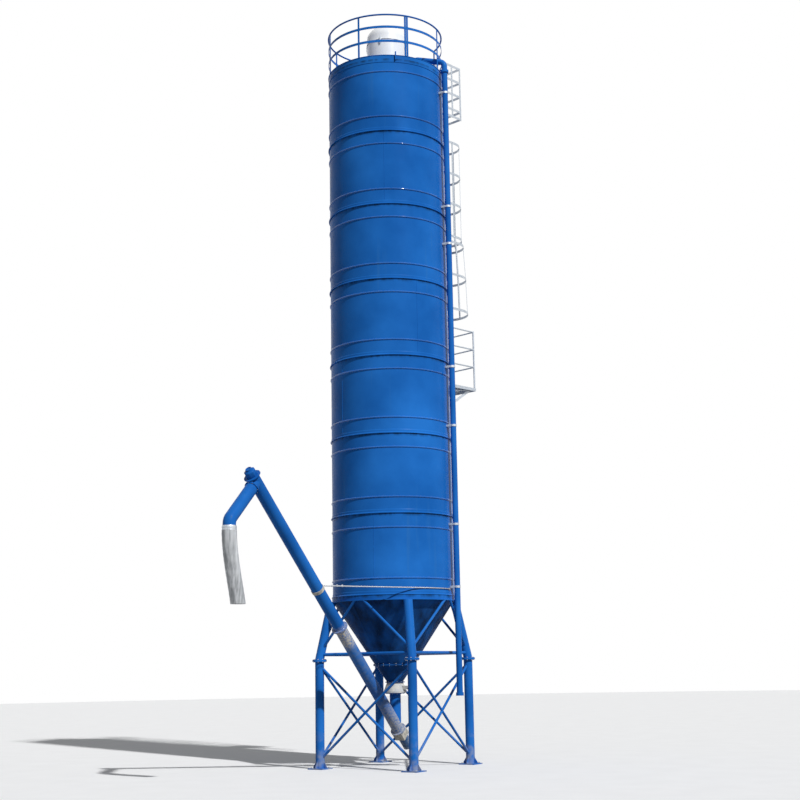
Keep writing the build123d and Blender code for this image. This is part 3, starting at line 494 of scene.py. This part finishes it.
sleeve_film = Finish("sleeve_film", 0.34)
sleeve_film.shader.inputs["Transmission Weight"].default_value = film_light
sleeve_film.shader.inputs["IOR"].default_value = film_index
# Upright streaks, partly grey dust and partly a painted sheen on the film.
sheen_and_dust_noise = sleeve_film.noise(26.0, 5, sleeve_film.stretch((1, 1, 0.07)))
sheen_and_dust_streaks = sleeve_film.ramp(sheen_and_dust_noise, 0.38, 0.64)
sleeve_film.colour(sleeve_film.mix(sheen_and_dust_streaks, film_milk, film_dust))
sleeve_film.bump(sleeve_film.noise(30.0, 3, sleeve_film.stretch((1, 1, 0.1))), 0.004, 0.6)

rope = Finish("wire_rope", 0.42, metallic=0.7)
lay = rope.node("ShaderNodeTexWave")
lay.bands_direction = "DIAGONAL"
lay.inputs["Scale"].default_value = rope_lay
rope.join(rope.place, lay.inputs["Vector"])
# The colour is darkest where the wave is low, in the grooves between strands: painted shade.
rope.colour(rope.mix(lay.outputs["Fac"], rope_groove_shade, rope_light))
rope.bump(lay.outputs["Fac"], 0.002, 0.6)

floor_finish = Finish("pale_floor", 0.85)
worn = floor_finish.ramp(floor_finish.noise(1.5, 5), 0.3, 0.7)
floor_finish.colour(floor_finish.mix(worn, grey(0.92), grey(0.95)))
ground = floor_finish.node("ShaderNodeBsdfDiffuse")
ground.inputs["Color"].default_value = grey(floor_bounce)
paths = floor_finish.node("ShaderNodeLightPath").outputs
mirrored = floor_finish.maths("MAXIMUM", paths["Is Glossy Ray"], paths["Is Transmission Ray"])
in_view = floor_finish.maths("MAXIMUM", paths["Is Camera Ray"], mirrored)
two_floors = floor_finish.node("ShaderNodeMixShader")
floor_finish.join(in_view, two_floors.inputs[0])
floor_finish.join(ground.outputs[0], two_floors.inputs[1])
floor_finish.join(floor_finish.shader.outputs[0], two_floors.inputs[2])
surface = floor_finish.tree.nodes["Material Output"].inputs["Surface"]
floor_finish.join(two_floors.outputs[0], surface)
floor.data.materials.append(floor_finish.material)
print("materials:", len(bpy.data.materials))

# %% [markdown]
# ## Finishes on the CAD nodes
# A node whose shape is right keeps its mesh and only gets a finish. The table below goes from the
# start of a node's name to its finish, and the first match wins.

# %% Dress the nodes
node_finishes = [
    ("shell_course", shell_paint), ("bottom_ring", shell_paint), ("roof", shell_paint),
    ("hopper", hopper_paint), ("guardrail", rail_paint), ("lifting_lugs", rail_paint),
    ("filter", filter_white), ("fill_pipe", frame_paint),
    ("pipe_clamps", zinc), ("ladder", zinc), ("platform", zinc),
    ("outlet_valve", valve_cast), ("inlet_neck", frame_paint),
    ("screw_tube", conveyor_paint), ("screw_spout", conveyor_paint),
    ("screw_band", gearbox_cast), ("screw_gearbox", gearbox_cast),
    ("screw_motor", motor_paint), ("screw_end_bearing", frame_paint),
    ("spout_sleeve", sleeve_film), ("stay_cable", rope),
    ("upper_legs", frame_paint), ("lower_legs", frame_paint), ("foot_plates", frame_paint),
    ("leg_ties", frame_paint), ("cross_braces", frame_paint), ("shell_struts", frame_paint),
]
for name, node in nodes.items():
    finish = next(f for start, f in node_finishes if name.startswith(start))
    node.data.materials.clear()
    node.data.materials.append(finish.material)
deselect()
print(len(nodes), "nodes dressed")

# %% [markdown]
# ## A kit for modelling by hand
# The pieces below start from a primitive and are shaped in edit mode. Operators work on what is
# selected, so a helper picks faces by where they look. Others grow a ring of edges step by step,
# join pieces, and bake a piece's place into its mesh before it is handed to the frame.

# %% Modelling helpers
square_on = 0.9


def start_edit(kind="FACE"):
    """Edit mode, with faces or edges to be picked."""
    bpy.ops.object.mode_set(mode="EDIT")
    bpy.ops.mesh.select_mode(type=kind)


def pick_faces(obj, wanted):
    """Select the faces for which wanted(face) is true, and nothing else."""
    bpy.ops.mesh.select_all(action="DESELECT")
    mesh = bmesh.from_edit_mesh(obj.data)
    count = 0
    for face in mesh.faces:
        face.select_set(bool(wanted(face)))
        count += face.select
    mesh.select_flush(True)
    bmesh.update_edit_mesh(obj.data)
    return count


def pick_facing(obj, axis, way):
    """Select the faces that look along axis 0, 1 or 2, forward for way 1 and back for -1."""
    return pick_faces(obj, lambda f: f.normal[axis] * way > square_on)


def next_ring(lift, ratio):
    """Extrude the selected ring of edges upward and scale the new ring."""
    bpy.ops.mesh.extrude_edges_move(TRANSFORM_OT_translate={"value": (0, 0, lift)})
    bpy.ops.transform.resize(value=(ratio, ratio, 1))


def ring_profile(radius, steps):
    """Extrude the selected ring through steps of (lift, new radius)."""
    for lift, new_radius in steps:
        next_ring(lift, new_radius / radius)
        radius = new_radius


def block(size, location=(0, 0, 0)):
    """A box of a given size, with its scale baked in."""
    bpy.ops.mesh.primitive_cube_add(size=1, location=location)
    obj = bpy.context.object
    obj.scale = size
    bpy.ops.object.transform_apply(location=False, rotation=False, scale=True)
    return obj


def bake(obj):
    """Apply the object's place and then its modifiers to its mesh."""
    deselect()
    obj.select_set(True)
    bpy.context.view_layer.objects.active = obj
    bpy.ops.object.transform_apply(location=True, rotation=True, scale=True)
    for modifier in list(obj.modifiers):
        bpy.ops.object.modifier_apply(modifier=modifier.name)


def joined(pieces):
    """Several fresh pieces joined into one, each with its own modifiers applied first."""
    for piece in pieces:
        bake(piece)
    deselect()
    for piece in pieces:
        piece.select_set(True)
    bpy.context.view_layer.objects.active = pieces[0]
    bpy.ops.object.join()
    return pieces[0]


def settle(obj, name, finish, matrix=None, smooth=30):
    """Bake the place into the mesh, give the finish, and let the piece ride on the silo."""
    if matrix is not None:
        obj.matrix_world = matrix @ obj.matrix_world
    bake(obj)
    bpy.ops.object.shade_smooth_by_angle(angle=math.radians(smooth))
    obj.name = name
    obj.data.materials.clear()
    obj.data.materials.append(finish.material)
    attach(obj, "root")
    deselect()
    print(name, len(obj.data.polygons), "faces")


def aim(place, direction, turn=0.0):
    """Matrix that puts a piece modelled along +Z at a place, looking along a direction."""
    spin = Vector(direction).to_track_quat("Z", "Y").to_matrix().to_4x4()
    return Matrix.Translation(place) @ spin @ Matrix.Rotation(turn, 4, "Z")


def polar(radius, angle, z=0.0):
    """Point at a distance from the silo's axis, at an angle in degrees from +X."""
    turn = math.radians(angle)
    return Vector((radius * math.cos(turn), radius * math.sin(turn), z))


def bevelled(obj, width, segments=2):
    """Give a piece rounded edges, which bake applies."""
    modifier = obj.modifiers.new("edges", "BEVEL")
    modifier.width = width
    modifier.segments = segments
    modifier.limit_method = "ANGLE"
    return obj


print("modelling kit is ready")

# %% [markdown]
# ## Bolts
# A silo is held together by hundreds of bolts. One is modelled: a hexagon, its top edge chamfered
# by an inset, and the end of the shank standing out of the nut. Each set of bolts is then one
# mesh, copied from it to every place, because that stays light and is still true geometry.

# %% One bolt
nut_height, nut_chamfer, nut_face, shank_end = 0.42, 0.07, 0.13, 0.16
bpy.ops.mesh.primitive_cylinder_add(vertices=6, radius=0.5, depth=nut_height,
                                    location=(0, 0, nut_height / 2))
bolt = bpy.context.object
start_edit()
pick_facing(bolt, 2, 1)
bpy.ops.mesh.inset(thickness=nut_chamfer)
bpy.ops.transform.translate(value=(0, 0, nut_chamfer))
bpy.ops.mesh.inset(thickness=nut_face)
bpy.ops.mesh.extrude_region_move(TRANSFORM_OT_translate={"value": (0, 0, shank_end)})
pick_facing(bolt, 2, -1)
bpy.ops.mesh.delete(type="FACE")
bpy.ops.object.mode_set(mode="OBJECT")
bolt.name = "bolt_pattern_piece"
bolt_mesh = bolt.data.copy()
bpy.data.objects.remove(bolt)
bolt_turn = 0.7
print("one bolt has", len(bolt_mesh.polygons), "faces")


def bolt_set(name, places, size):
    """One mesh with a bolt at each (place, direction); size is across the corners."""
    mesh = bmesh.new()
    for index, (place, direction) in enumerate(places):
        before = len(mesh.verts)
        mesh.from_mesh(bolt_mesh)
        mesh.verts.ensure_lookup_table()
        matrix = aim(place, direction, index * bolt_turn) @ Matrix.Scale(size, 4)
        for vert in mesh.verts[before:]:
            vert.co = matrix @ vert.co
    data = bpy.data.meshes.new(name)
    mesh.to_mesh(data)
    mesh.free()
    obj = bpy.data.objects.new(name, data)
    bpy.context.collection.objects.link(obj)
    settle(obj, name, bolt_zinc, smooth=20)


# %% Bolts of the legs and the foundation
leg_spread = 1.018
leg_flange_z = 1.965
leg_flange_thickness = 0.018
leg_circle = 0.110
anchor_reach, plate_top = 0.118, 0.02
leg_bolt, anchor_nut = 0.030, 0.044
down, up = Vector((0, 0, -1)), Vector((0, 0, 1))
leg_feet = [Vector((sx * leg_spread, sy * leg_spread, 0)) for sx in (-1, 1) for sy in (-1, 1)]
flange_bolts = []
anchor_nuts = []
for foot in leg_feet:
    for step in range(8):
        spot = foot + polar(leg_circle, step * 45 + 22.5)
        flange_bolts.append((spot + up * (leg_flange_z + leg_flange_thickness), up))
        flange_bolts.append((spot + up * (leg_flange_z - leg_flange_thickness), down))
    outward = Vector((math.copysign(1, foot.x), math.copysign(1, foot.y), 0))
    for sign in (-1, 1):
        anchor_nuts.append((foot + outward * (anchor_reach * sign) + up * plate_top, up))
bolt_set("leg_flange_bolts", flange_bolts, leg_bolt)
bolt_set("anchor_nuts", anchor_nuts, anchor_nut)

# %% Bolts of the hopper, valve and conveyor
outlet_radius, outlet_z, cone_top_z = 0.15, 1.54, 3.058
flange_z, flange_half, flange_margin = 1.87, 0.014, 0.022
valve_flanges = ((0.170, 1.554, up), (0.160, 1.336, down))
hopper_bolt, valve_bolt, screw_bolt = 0.021, 0.018, 0.019

cone_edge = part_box("hopper_cone")[1].x
cone_slope = (cone_edge - outlet_radius) / (cone_top_z - outlet_z)
joint_radius = outlet_radius + (flange_z - outlet_z) * cone_slope
hopper_bolts = []
for step in range(20):
    spot = polar(joint_radius + flange_margin, step * 18)
    hopper_bolts.append((spot + up * (flange_z + flange_half), up))
    hopper_bolts.append((spot + up * (flange_z - flange_half), down))
bolt_set("hopper_flange_bolts", hopper_bolts, hopper_bolt)

valve_bolts = []
for step in range(12):
    for circle, level, way in valve_flanges:
        valve_bolts.append((polar(circle, step * 30 + 15) + up * level, way))
bolt_set("valve_bolts", valve_bolts, valve_bolt)


def screw_place(distance, radius=0.0, turn=0.0):
    """Point round the screw at a distance along it; a turn of 0 is its upper side."""
    across = Vector((1, 0, 0)) * math.sin(turn) + screw_up * math.cos(turn)
    return screw_foot + screw_run * distance + across * radius


screw_circle, joint_half = 0.131, 0.012
head_flange, feed_flange = 6.068, -0.113
screw_bolts = []
for distance, way in ((screw_joint - joint_half, -1), (screw_joint + joint_half, 1),
                      (head_flange, -1), (feed_flange, 1)):
    for step in range(8):
        turn = math.radians(step * 45 + 22.5)
        screw_bolts.append((screw_place(distance, screw_circle, turn), screw_run * way))
bolt_set("screw_flange_bolts", screw_bolts, screw_bolt)

# %% [markdown]
# ## Weld seams
# A course is one sheet rolled round, so it closes in one upright weld, and the fabricator
# staggers the welds so that no two line up. The cone is made of plates that meet in sloping
# seams. Each seam is a shallow rounded bead: a thin eight-sided bar with its edges bevelled.

# %% Upright and sloping seams
shell_radius = 1.16
shell_weld, cone_weld = 0.009, 0.010
seam_angles = [-75, 10, -110, -30, 160, -60, -140]
seam_spans = ((0.09, 0.28), (0.33, 1.215), (1.265, 1.485))
cone_seam_top, cone_seam_lift = 3.05, 0.02
seam_sink, seam_clearance = 0.002, 0.010


def seam(start, end, width):
    """Weld bead between two points, half sunk into the sheet."""
    run = Vector(end) - Vector(start)
    bpy.ops.mesh.primitive_cylinder_add(vertices=8, radius=width / 2, depth=run.length)
    bead = bpy.context.object
    start_edit()
    bpy.ops.mesh.select_all(action="SELECT")
    bpy.ops.mesh.bevel(offset=width / 12, segments=1)
    bpy.ops.object.mode_set(mode="OBJECT")
    bead.matrix_world = aim((Vector(start) + Vector(end)) / 2, run)
    return bead


shell_seams = []
for index, angle in enumerate(seam_angles):
    foot_z = course_foot + index * course_height
    for low, high in seam_spans:
        shell_seams.append(seam(polar(shell_radius, angle, foot_z + low),
                                polar(shell_radius, angle, foot_z + high), shell_weld))
settle(joined(shell_seams), "shell_seams", shell_paint)

cone_seams = []
for angle in range(20, 380, 60):
    top = polar(cone_edge - seam_sink, angle, cone_seam_top)
    foot = polar(joint_radius + seam_clearance, angle, flange_z + cone_seam_lift)
    cone_seams.append(seam(top, foot, cone_weld))
settle(joined(cone_seams), "hopper_seams", hopper_paint)

# %% [markdown]
# ## The dust filter's cover
# The cover is a pressed dome with round shoulders, held by four latches. A circle is extruded up
# and scaled in, ring after ring, along a quarter of an oval, which keeps the shoulders full. A
# thin wall makes it sheet metal, and smooth shading hides the steps between the rings.

# %% Filter cover
lid_low, lid_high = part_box("filter_cover")
lid_centre = Vector(((lid_low.x + lid_high.x) / 2, (lid_low.y + lid_high.y) / 2, lid_low.z))
lid_radius = (lid_high.x - lid_low.x) / 2
lid_height = lid_high.z - lid_low.z
straight_height = lid_height * 0.30
rim_height, rim_taper = 0.022, 0.985
shoulder_power = 0.8
lid_sheet = 0.003
bpy.ops.mesh.primitive_circle_add(vertices=48, radius=lid_radius, fill_type="NOTHING")
cover = bpy.context.object
start_edit("EDGE")
bpy.ops.mesh.select_all(action="SELECT")
next_ring(rim_height, rim_taper)
next_ring(straight_height - rim_height, 1.0)
width_now, height_now = 1.0, straight_height
crown_height = lid_height - straight_height
for step in range(1, 9):
    angle = math.radians(step * 11)
    width_next = math.cos(angle) ** shoulder_power
    height_next = straight_height + crown_height * math.sin(angle)
    next_ring(height_next - height_now, width_next / width_now)
    width_now, height_now = width_next, height_next
bpy.ops.mesh.edge_face_add()
bpy.ops.mesh.inset(thickness=lid_radius * width_now * 0.5)
bpy.ops.mesh.select_all(action="SELECT")
bpy.ops.mesh.normals_make_consistent(inside=False)
bpy.ops.object.mode_set(mode="OBJECT")
wall = cover.modifiers.new("sheet", "SOLIDIFY")
wall.thickness = lid_sheet
wall.offset = -1
settle(cover, "filter_dome", filter_white, Matrix.Translation(lid_centre),
       smooth=50)
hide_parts("filter_cover")

# %% Latches of the cover
latch_size = (0.030, 0.018, 0.110)
latch_gap, latch_drop = 0.004, 0.012
latch_margin, latch_edge = 0.005, 0.002
lever_move, tongue_move, tongue_taper = (0, -0.010, 0.012), (0, -0.004, -0.030), 0.7
latches = []
for angle in (-75, 15, 105, 195):
    latch = block(latch_size)
    start_edit()
    pick_facing(latch, 1, -1)
    bpy.ops.mesh.inset(thickness=latch_margin)
    bpy.ops.mesh.extrude_region_move(TRANSFORM_OT_translate={"value": lever_move})
    pick_facing(latch, 2, -1)
    bpy.ops.mesh.extrude_region_move(TRANSFORM_OT_translate={"value": tongue_move})
    bpy.ops.transform.resize(value=(tongue_taper, tongue_taper, 1))
    bpy.ops.object.mode_set(mode="OBJECT")
    spot = lid_centre + polar(lid_radius + latch_gap, angle, -latch_drop)
    turned = Matrix.Rotation(math.radians(angle + 90), 4, "Z")
    latch.matrix_world = Matrix.Translation(spot) @ turned
    latches.append(bevelled(latch, latch_edge))
settle(joined(latches), "filter_latches", zinc)

# %% [markdown]
# ## The drive
# The motor is a finned casting with a fan cowl and a terminal box. Every second face of a
# cylinder is extruded to make the fins, as the real casting's fins stand all round. The gearbox
# is a block with heavy bevels and a raised pad on each side, bolted at the corners of its end.

# %% Motor
motor_low, motor_high = -0.585, -0.315
motor_length = motor_high - motor_low
motor_radius = 0.088
fin_depth = 0.016
cowl_step, cowl_rise = 0.012, 0.004
shield_chamfer = 0.010
box_size, box_sink, box_edge = (0.085, 0.045, 0.095), 0.004, 0.004
box_lid_margin, box_lid_lift = 0.005, 0.008


def motor_part(sides, radius, share, middle):
    """Cylinder over a share of the motor's length, centred at a share of that length."""
    bpy.ops.mesh.primitive_cylinder_add(vertices=sides, radius=radius, depth=motor_length * share,
                                        location=(0, 0, motor_length * middle))
    return bpy.context.object


motor = motor_part(48, motor_radius - fin_depth, share=0.62, middle=0.03)
start_edit()
fins = pick_faces(motor, lambda f: abs(f.normal.z) < 0.1 and f.index % 2 == 0)
bpy.ops.mesh.extrude_faces_move(TRANSFORM_OT_shrink_fatten={"value": fin_depth})
bpy.ops.object.mode_set(mode="OBJECT")
print("motor fins:", fins)

cowl = motor_part(40, motor_radius, share=0.2, middle=-0.4)
start_edit()
pick_facing(cowl, 2, -1)
bpy.ops.mesh.inset(thickness=cowl_step)
bpy.ops.transform.translate(value=(0, 0, -cowl_rise))
for _ in range(3):
    bpy.ops.mesh.inset(thickness=cowl_step)
    bpy.ops.mesh.extrude_region_move(TRANSFORM_OT_translate={"value": (0, 0, cowl_rise)})
bpy.ops.object.mode_set(mode="OBJECT")

end_shield = motor_part(40, motor_radius, share=0.16, middle=0.42)
start_edit()
pick_facing(end_shield, 2, 1)
bpy.ops.mesh.inset(thickness=shield_chamfer)
bpy.ops.object.mode_set(mode="OBJECT")

terminal_box = block(box_size, (0, motor_radius - box_sink, 0.0))
start_edit()
pick_facing(terminal_box, 1, 1)
bpy.ops.mesh.inset(thickness=box_lid_margin)
bpy.ops.mesh.extrude_region_move(TRANSFORM_OT_translate={"value": (0, box_lid_lift, 0)})
bpy.ops.object.mode_set(mode="OBJECT")
bevelled(terminal_box, box_edge)
motor_middle = screw_place((motor_low + motor_high) / 2)
settle(joined([motor, cowl, end_shield, terminal_box]), "finned_motor", motor_paint,
       aim(motor_middle, screw_run), smooth=35)
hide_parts("screw_motor")

# %% Gearbox
gearbox_side, gearbox_length = 0.21, 0.19
gearbox_station = -0.22
gearbox_edge = 0.010
pad_reach, pad_margin, pad_lift = 0.02, 0.008, 0.010
gear_bolt, gear_bolt_reach = 0.022, 0.082


def is_pad(face, axis, way):
    """Whether a face is the middle one on a side of the gearbox."""
    middle = face.calc_center_median()
    return (face.normal[axis] * way > square_on
            and abs(middle[1 - axis]) < pad_reach and abs(middle.z) < pad_reach)


gearbox = block((gearbox_side, gearbox_side, gearbox_length))
start_edit()
bpy.ops.mesh.select_all(action="SELECT")
bpy.ops.mesh.subdivide(number_cuts=2)
for axis in range(2):
    for way in (-1, 1):
        pick_faces(gearbox, lambda f: is_pad(f, axis, way))
        bpy.ops.mesh.inset(thickness=pad_margin)
        bpy.ops.mesh.extrude_region_shrink_fatten(TRANSFORM_OT_shrink_fatten={"value": pad_lift})
bpy.ops.object.mode_set(mode="OBJECT")
bevelled(gearbox, gearbox_edge, segments=3)
settle(gearbox, "gearbox_casing", gearbox_cast,
       aim(screw_place(gearbox_station), screw_run), smooth=35)
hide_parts("screw_gearbox")

gear_bolts = []
for way_x in (-1, 1):
    for way_y in (-1, 1):
        corner = Vector((way_x * gear_bolt_reach, 0, 0)) + screw_up * (way_y * gear_bolt_reach)
        gear_bolts.append((screw_place(motor_high) + corner, -screw_run))
bolt_set("gearbox_bolts", gear_bolts, gear_bolt)

# %% [markdown]
# The upper end of the screw turns in a bearing bolted to the end flange. Its housing is
# eight-sided, with a chamfered end and a boss over the shaft, so it starts as an eight-sided
# cylinder. Insets of its end face, each moved along the axis, make the chamfer and the boss.

# %% End bearing
bearing_radius, bearing_depth, bearing_drop = 0.104, 0.10, 0.025
bearing_station, bearing_turn, bearing_edge = 6.155, 0.39, 0.005
chamfer_in, chamfer_out = 0.024, 0.020
boss_margin, boss_height = 0.018, 0.030
bore_wall, bore_depth = 0.012, 0.012
bpy.ops.mesh.primitive_cylinder_add(vertices=8, radius=bearing_radius, depth=bearing_depth,
                                    location=(0, 0, -bearing_drop))
bearing = bpy.context.object
start_edit()
pick_facing(bearing, 2, 1)
bpy.ops.mesh.inset(thickness=chamfer_in)
bpy.ops.transform.translate(value=(0, 0, chamfer_out))
bpy.ops.mesh.inset(thickness=boss_margin)
bpy.ops.mesh.extrude_region_move(TRANSFORM_OT_translate={"value": (0, 0, boss_height)})
bpy.ops.mesh.inset(thickness=bore_wall)
bpy.ops.mesh.extrude_region_move(TRANSFORM_OT_translate={"value": (0, 0, -bore_depth)})
bpy.ops.object.mode_set(mode="OBJECT")
bevelled(bearing, bearing_edge)
settle(bearing, "bearing_housing", frame_paint,
       aim(screw_place(bearing_station), screw_run, bearing_turn))
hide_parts("screw_end_bearing")

# %% [markdown]
# The spout is bolted to the screw just below its outlet, and the two flanges there show as a
# collar. A ring of edges is widened, raised and narrowed again, which gives a flat ring with a
# hole through it.

# %% Spout collar
spout_fall = math.radians(45)
spout_way = Vector((0, -math.cos(spout_fall), -math.sin(spout_fall)))
spout_station = 5.9385
spout_root = screw_place(spout_station)
collar_foot, collar_end = 0.138, 0.162
collar_bore, groove_radius, collar_radius = 0.1100, 0.125, 0.128
flange_depth, groove_depth = 0.011, 0.002
collar_circle, collar_bolt = 0.119, 0.013
bpy.ops.mesh.primitive_circle_add(vertices=48, radius=collar_bore, fill_type="NOTHING")
collar = bpy.context.object
start_edit("EDGE")
bpy.ops.mesh.select_all(action="SELECT")
ring_profile(collar_bore, [(0, collar_radius), (flange_depth, collar_radius),
                           (0, groove_radius), (groove_depth, groove_radius),
                           (0, collar_radius), (flange_depth, collar_radius), (0, collar_bore)])
bpy.ops.mesh.select_all(action="SELECT")
bpy.ops.mesh.normals_make_consistent(inside=False)
bpy.ops.object.mode_set(mode="OBJECT")
settle(collar, "spout_collar", frame_paint,
       aim(spout_root + spout_way * collar_foot, spout_way), smooth=25)

level_way = Vector((1, 0, 0))
slanting_way = spout_way.cross(level_way)
collar_bolts = []
for step in range(10):
    turn = math.radians(step * 36 + 18)
    across = level_way * math.cos(turn) + slanting_way * math.sin(turn)
    for reach, way in ((collar_foot, -1), (collar_end, 1)):
        spot = spout_root + spout_way * reach + across * collar_circle
        collar_bolts.append((spot, spout_way * way))
bolt_set("collar_bolts", collar_bolts, collar_bolt)

# %% [markdown]
# ## The hanging sleeve
# A tube of milky film hangs from the spout and is drawn a little towards the silo. It is a sheet
# rolled into a tube, so its area must stay that of the flat film: each ring keeps its size, and
# only shallow folds run round it. A ring of edges is extruded down the line of the sleeve, one
# short step at a time. Every fourth ring is widened, and the next but one is drawn in again.

# %% Sleeve
sleeve_radius, solid_radius = 0.1225, 0.125
cuff_height = 0.08
sleeve_lean, sleeve_length = 0.235, 1.18
sleeve_steps = 44
fold_ratio, sway_depth = 1.012, 0.0022
film_thickness = 0.0012
sleeve_low, sleeve_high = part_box("spout_sleeve")
sleeve_top = Vector((0, sleeve_low.y + solid_radius, sleeve_high.z - cuff_height))


def sleeve_line(share):
    """Point on the middle of the sleeve: upright at its top, leaning at its foot."""
    lean = sleeve_lean * (2 * share ** 2 - share ** 3)
    return sleeve_top + Vector((0, lean, -sleeve_length * share))


bpy.ops.mesh.primitive_circle_add(vertices=48, radius=sleeve_radius, fill_type="NOTHING",
                                  location=sleeve_top)
sleeve = bpy.context.object
bpy.ops.object.transform_apply(location=True, rotation=True, scale=True)
start_edit("EDGE")
bpy.ops.mesh.select_all(action="SELECT")
for step in range(1, sleeve_steps + 1):
    before = sleeve_line((step - 1) / sleeve_steps)
    after = sleeve_line(step / sleeve_steps)
    bpy.ops.mesh.extrude_edges_move(TRANSFORM_OT_translate={"value": after - before})
    fold = {2: fold_ratio, 0: 1 / fold_ratio}.get(step % 4, 1.0)
    bpy.ops.transform.resize(value=(fold, fold, 1), center_override=after)
bpy.ops.object.mode_set(mode="OBJECT")
for vert in sleeve.data.vertices:
    share = (sleeve_top.z - vert.co.z) / sleeve_length
    middle = sleeve_line(min(max(share, 0), 1))
    angle = math.atan2(vert.co.y - middle.y, vert.co.x)
    sway = sway_depth * math.sin(3 * angle + 5 * share) * share
    vert.co += (vert.co - Vector((0, middle.y, vert.co.z))).normalized() * sway
film = sleeve.modifiers.new("film", "SOLIDIFY")
film.thickness = film_thickness
film.offset = -1
settle(sleeve, "sleeve_film", sleeve_film, smooth=60)
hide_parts("spout_sleeve")

# %% [markdown]
# A band clamp holds the sleeve on the spout. The strip of film under the band is part of the
# clamp's cuff, a short tapered ring that spans from the wider sleeve to the narrower tube.

# %% Sleeve clamp
cuff_radius, band_radius, cuff_top_radius = 0.119, 0.122, 0.117
cuff_sheet = 0.003
bpy.ops.mesh.primitive_circle_add(vertices=48, radius=sleeve_radius, fill_type="NOTHING",
                                  location=sleeve_top)
cuff = bpy.context.object
start_edit("EDGE")
bpy.ops.mesh.select_all(action="SELECT")
ring_profile(sleeve_radius, [(0.03, cuff_radius), (0.012, band_radius), (0.018, band_radius),
                             (0.008, cuff_radius), (0.010, cuff_top_radius)])
bpy.ops.object.mode_set(mode="OBJECT")
band = cuff.modifiers.new("band", "SOLIDIFY")
band.thickness = cuff_sheet
band.offset = -1
settle(cuff, "sleeve_cuff", zinc, smooth=35)
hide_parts("spout_sleeve")

# %% [markdown]
# ## Clips on the stay
# The stay is wire rope, and its loop is closed by clips. Each is a small saddle with rounded edges
# and a raised back. They show as bright knots along the rope near the conveyor.

# %% Rope clips
screw_radius, band_thickness, rope_radius = 0.1095, 0.010, 0.011
band_gap, shell_gap = 0.0006, 0.0008
stay_station = 3.47
clip_size, clip_margin, clip_back, clip_edge = (0.034, 0.030, 0.020), 0.004, 0.010, 0.004

stay_side = (Vector((1, 0, 0)) + screw_up).normalized()
stay_stand_off = screw_radius + band_thickness + rope_radius + band_gap
stay_foot = screw_place(stay_station) + stay_side * stay_stand_off
touch_facing = math.degrees(math.atan2(stay_foot.y, stay_foot.x))
stay_circle = shell_radius + rope_radius + shell_gap
touch_turn = math.pi / 2 - math.asin(stay_circle / stay_foot.xy.length)
stay_touch = polar(stay_circle, touch_facing + math.degrees(touch_turn), stay_foot.z)
stay_way = (stay_touch - stay_foot).normalized()
clips = []
for distance in (0.16, 0.26, 0.36):
    clip = block(clip_size)
    start_edit()
    pick_facing(clip, 1, 1)
    bpy.ops.mesh.inset(thickness=clip_margin)
    bpy.ops.mesh.extrude_region_move(TRANSFORM_OT_translate={"value": (0, clip_back, 0)})
    bpy.ops.object.mode_set(mode="OBJECT")
    clip.matrix_world = aim(stay_foot + stay_way * distance, stay_way)
    clips.append(bevelled(clip, clip_edge))
settle(joined(clips), "rope_clips", bolt_zinc)

# %% [markdown]
# ## Bolts of the ladders and clamps
# Each strap of a cage is bolted to each hoop, and each pipe clamp is closed by two bolts. These
# small bright dots give the long ladder its scale.

# %% Cage and clamp bolts
ladder_angle, lower_angle = 79.0, 107.0
platform_depth = 0.06
platform_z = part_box("platform_floor")[1].z - platform_depth
cage_base, cage_half, cage_straight, cage_side = 1.39, 0.385, 0.3, 0.217
strap_turns = (90, 43, 0, -43, -90)
strap_thickness = 0.006
cage_bolt, clamp_bolt = 0.016, 0.018
cage_levels = [1.68, 2.42, 3.13, 3.27, 3.98, 4.645, 5.34]
cage_flares = [0.09, 0.07, 0.035, 0, 0, 0, 0]
lower_levels = [-2.2, -1.93, -1.28, -0.63]
lower_flares = [0.09, 0, 0, 0]
cage_bolts = []
for base, levels, flares in ((ladder_angle, cage_levels, cage_flares),
                             (lower_angle, lower_levels, lower_flares)):
    for height, flare in zip(levels, flares):
        for turn in strap_turns:
            run = cage_side if abs(turn) == 90 else cage_straight
            facing = polar(1, base + turn)
            spot = polar(cage_base + run, base) + facing * (cage_half + flare + strap_thickness)
            cage_bolts.append((spot + up * (platform_z + height), facing))
bolt_set("cage_bolts", cage_bolts, cage_bolt)

clamp_rises = [0.16, 1.34, 3.24, 4.4, 6.89, 7.66, 10.07]
pipe_angle, pipe_reach = 12.0, 1.282
clamp_back, clamp_side = 0.04, 0.0605
clamp_bolts = []
for rise_z in clamp_rises:
    for way in (-1, 1):
        sideways = pipe_angle + 90 * way
        spot = polar(pipe_reach - clamp_back, pipe_angle) + polar(clamp_side, sideways)
        clamp_bolts.append((spot + up * (course_foot + rise_z), polar(1, sideways)))
bolt_set("clamp_bolts", clamp_bolts, clamp_bolt)
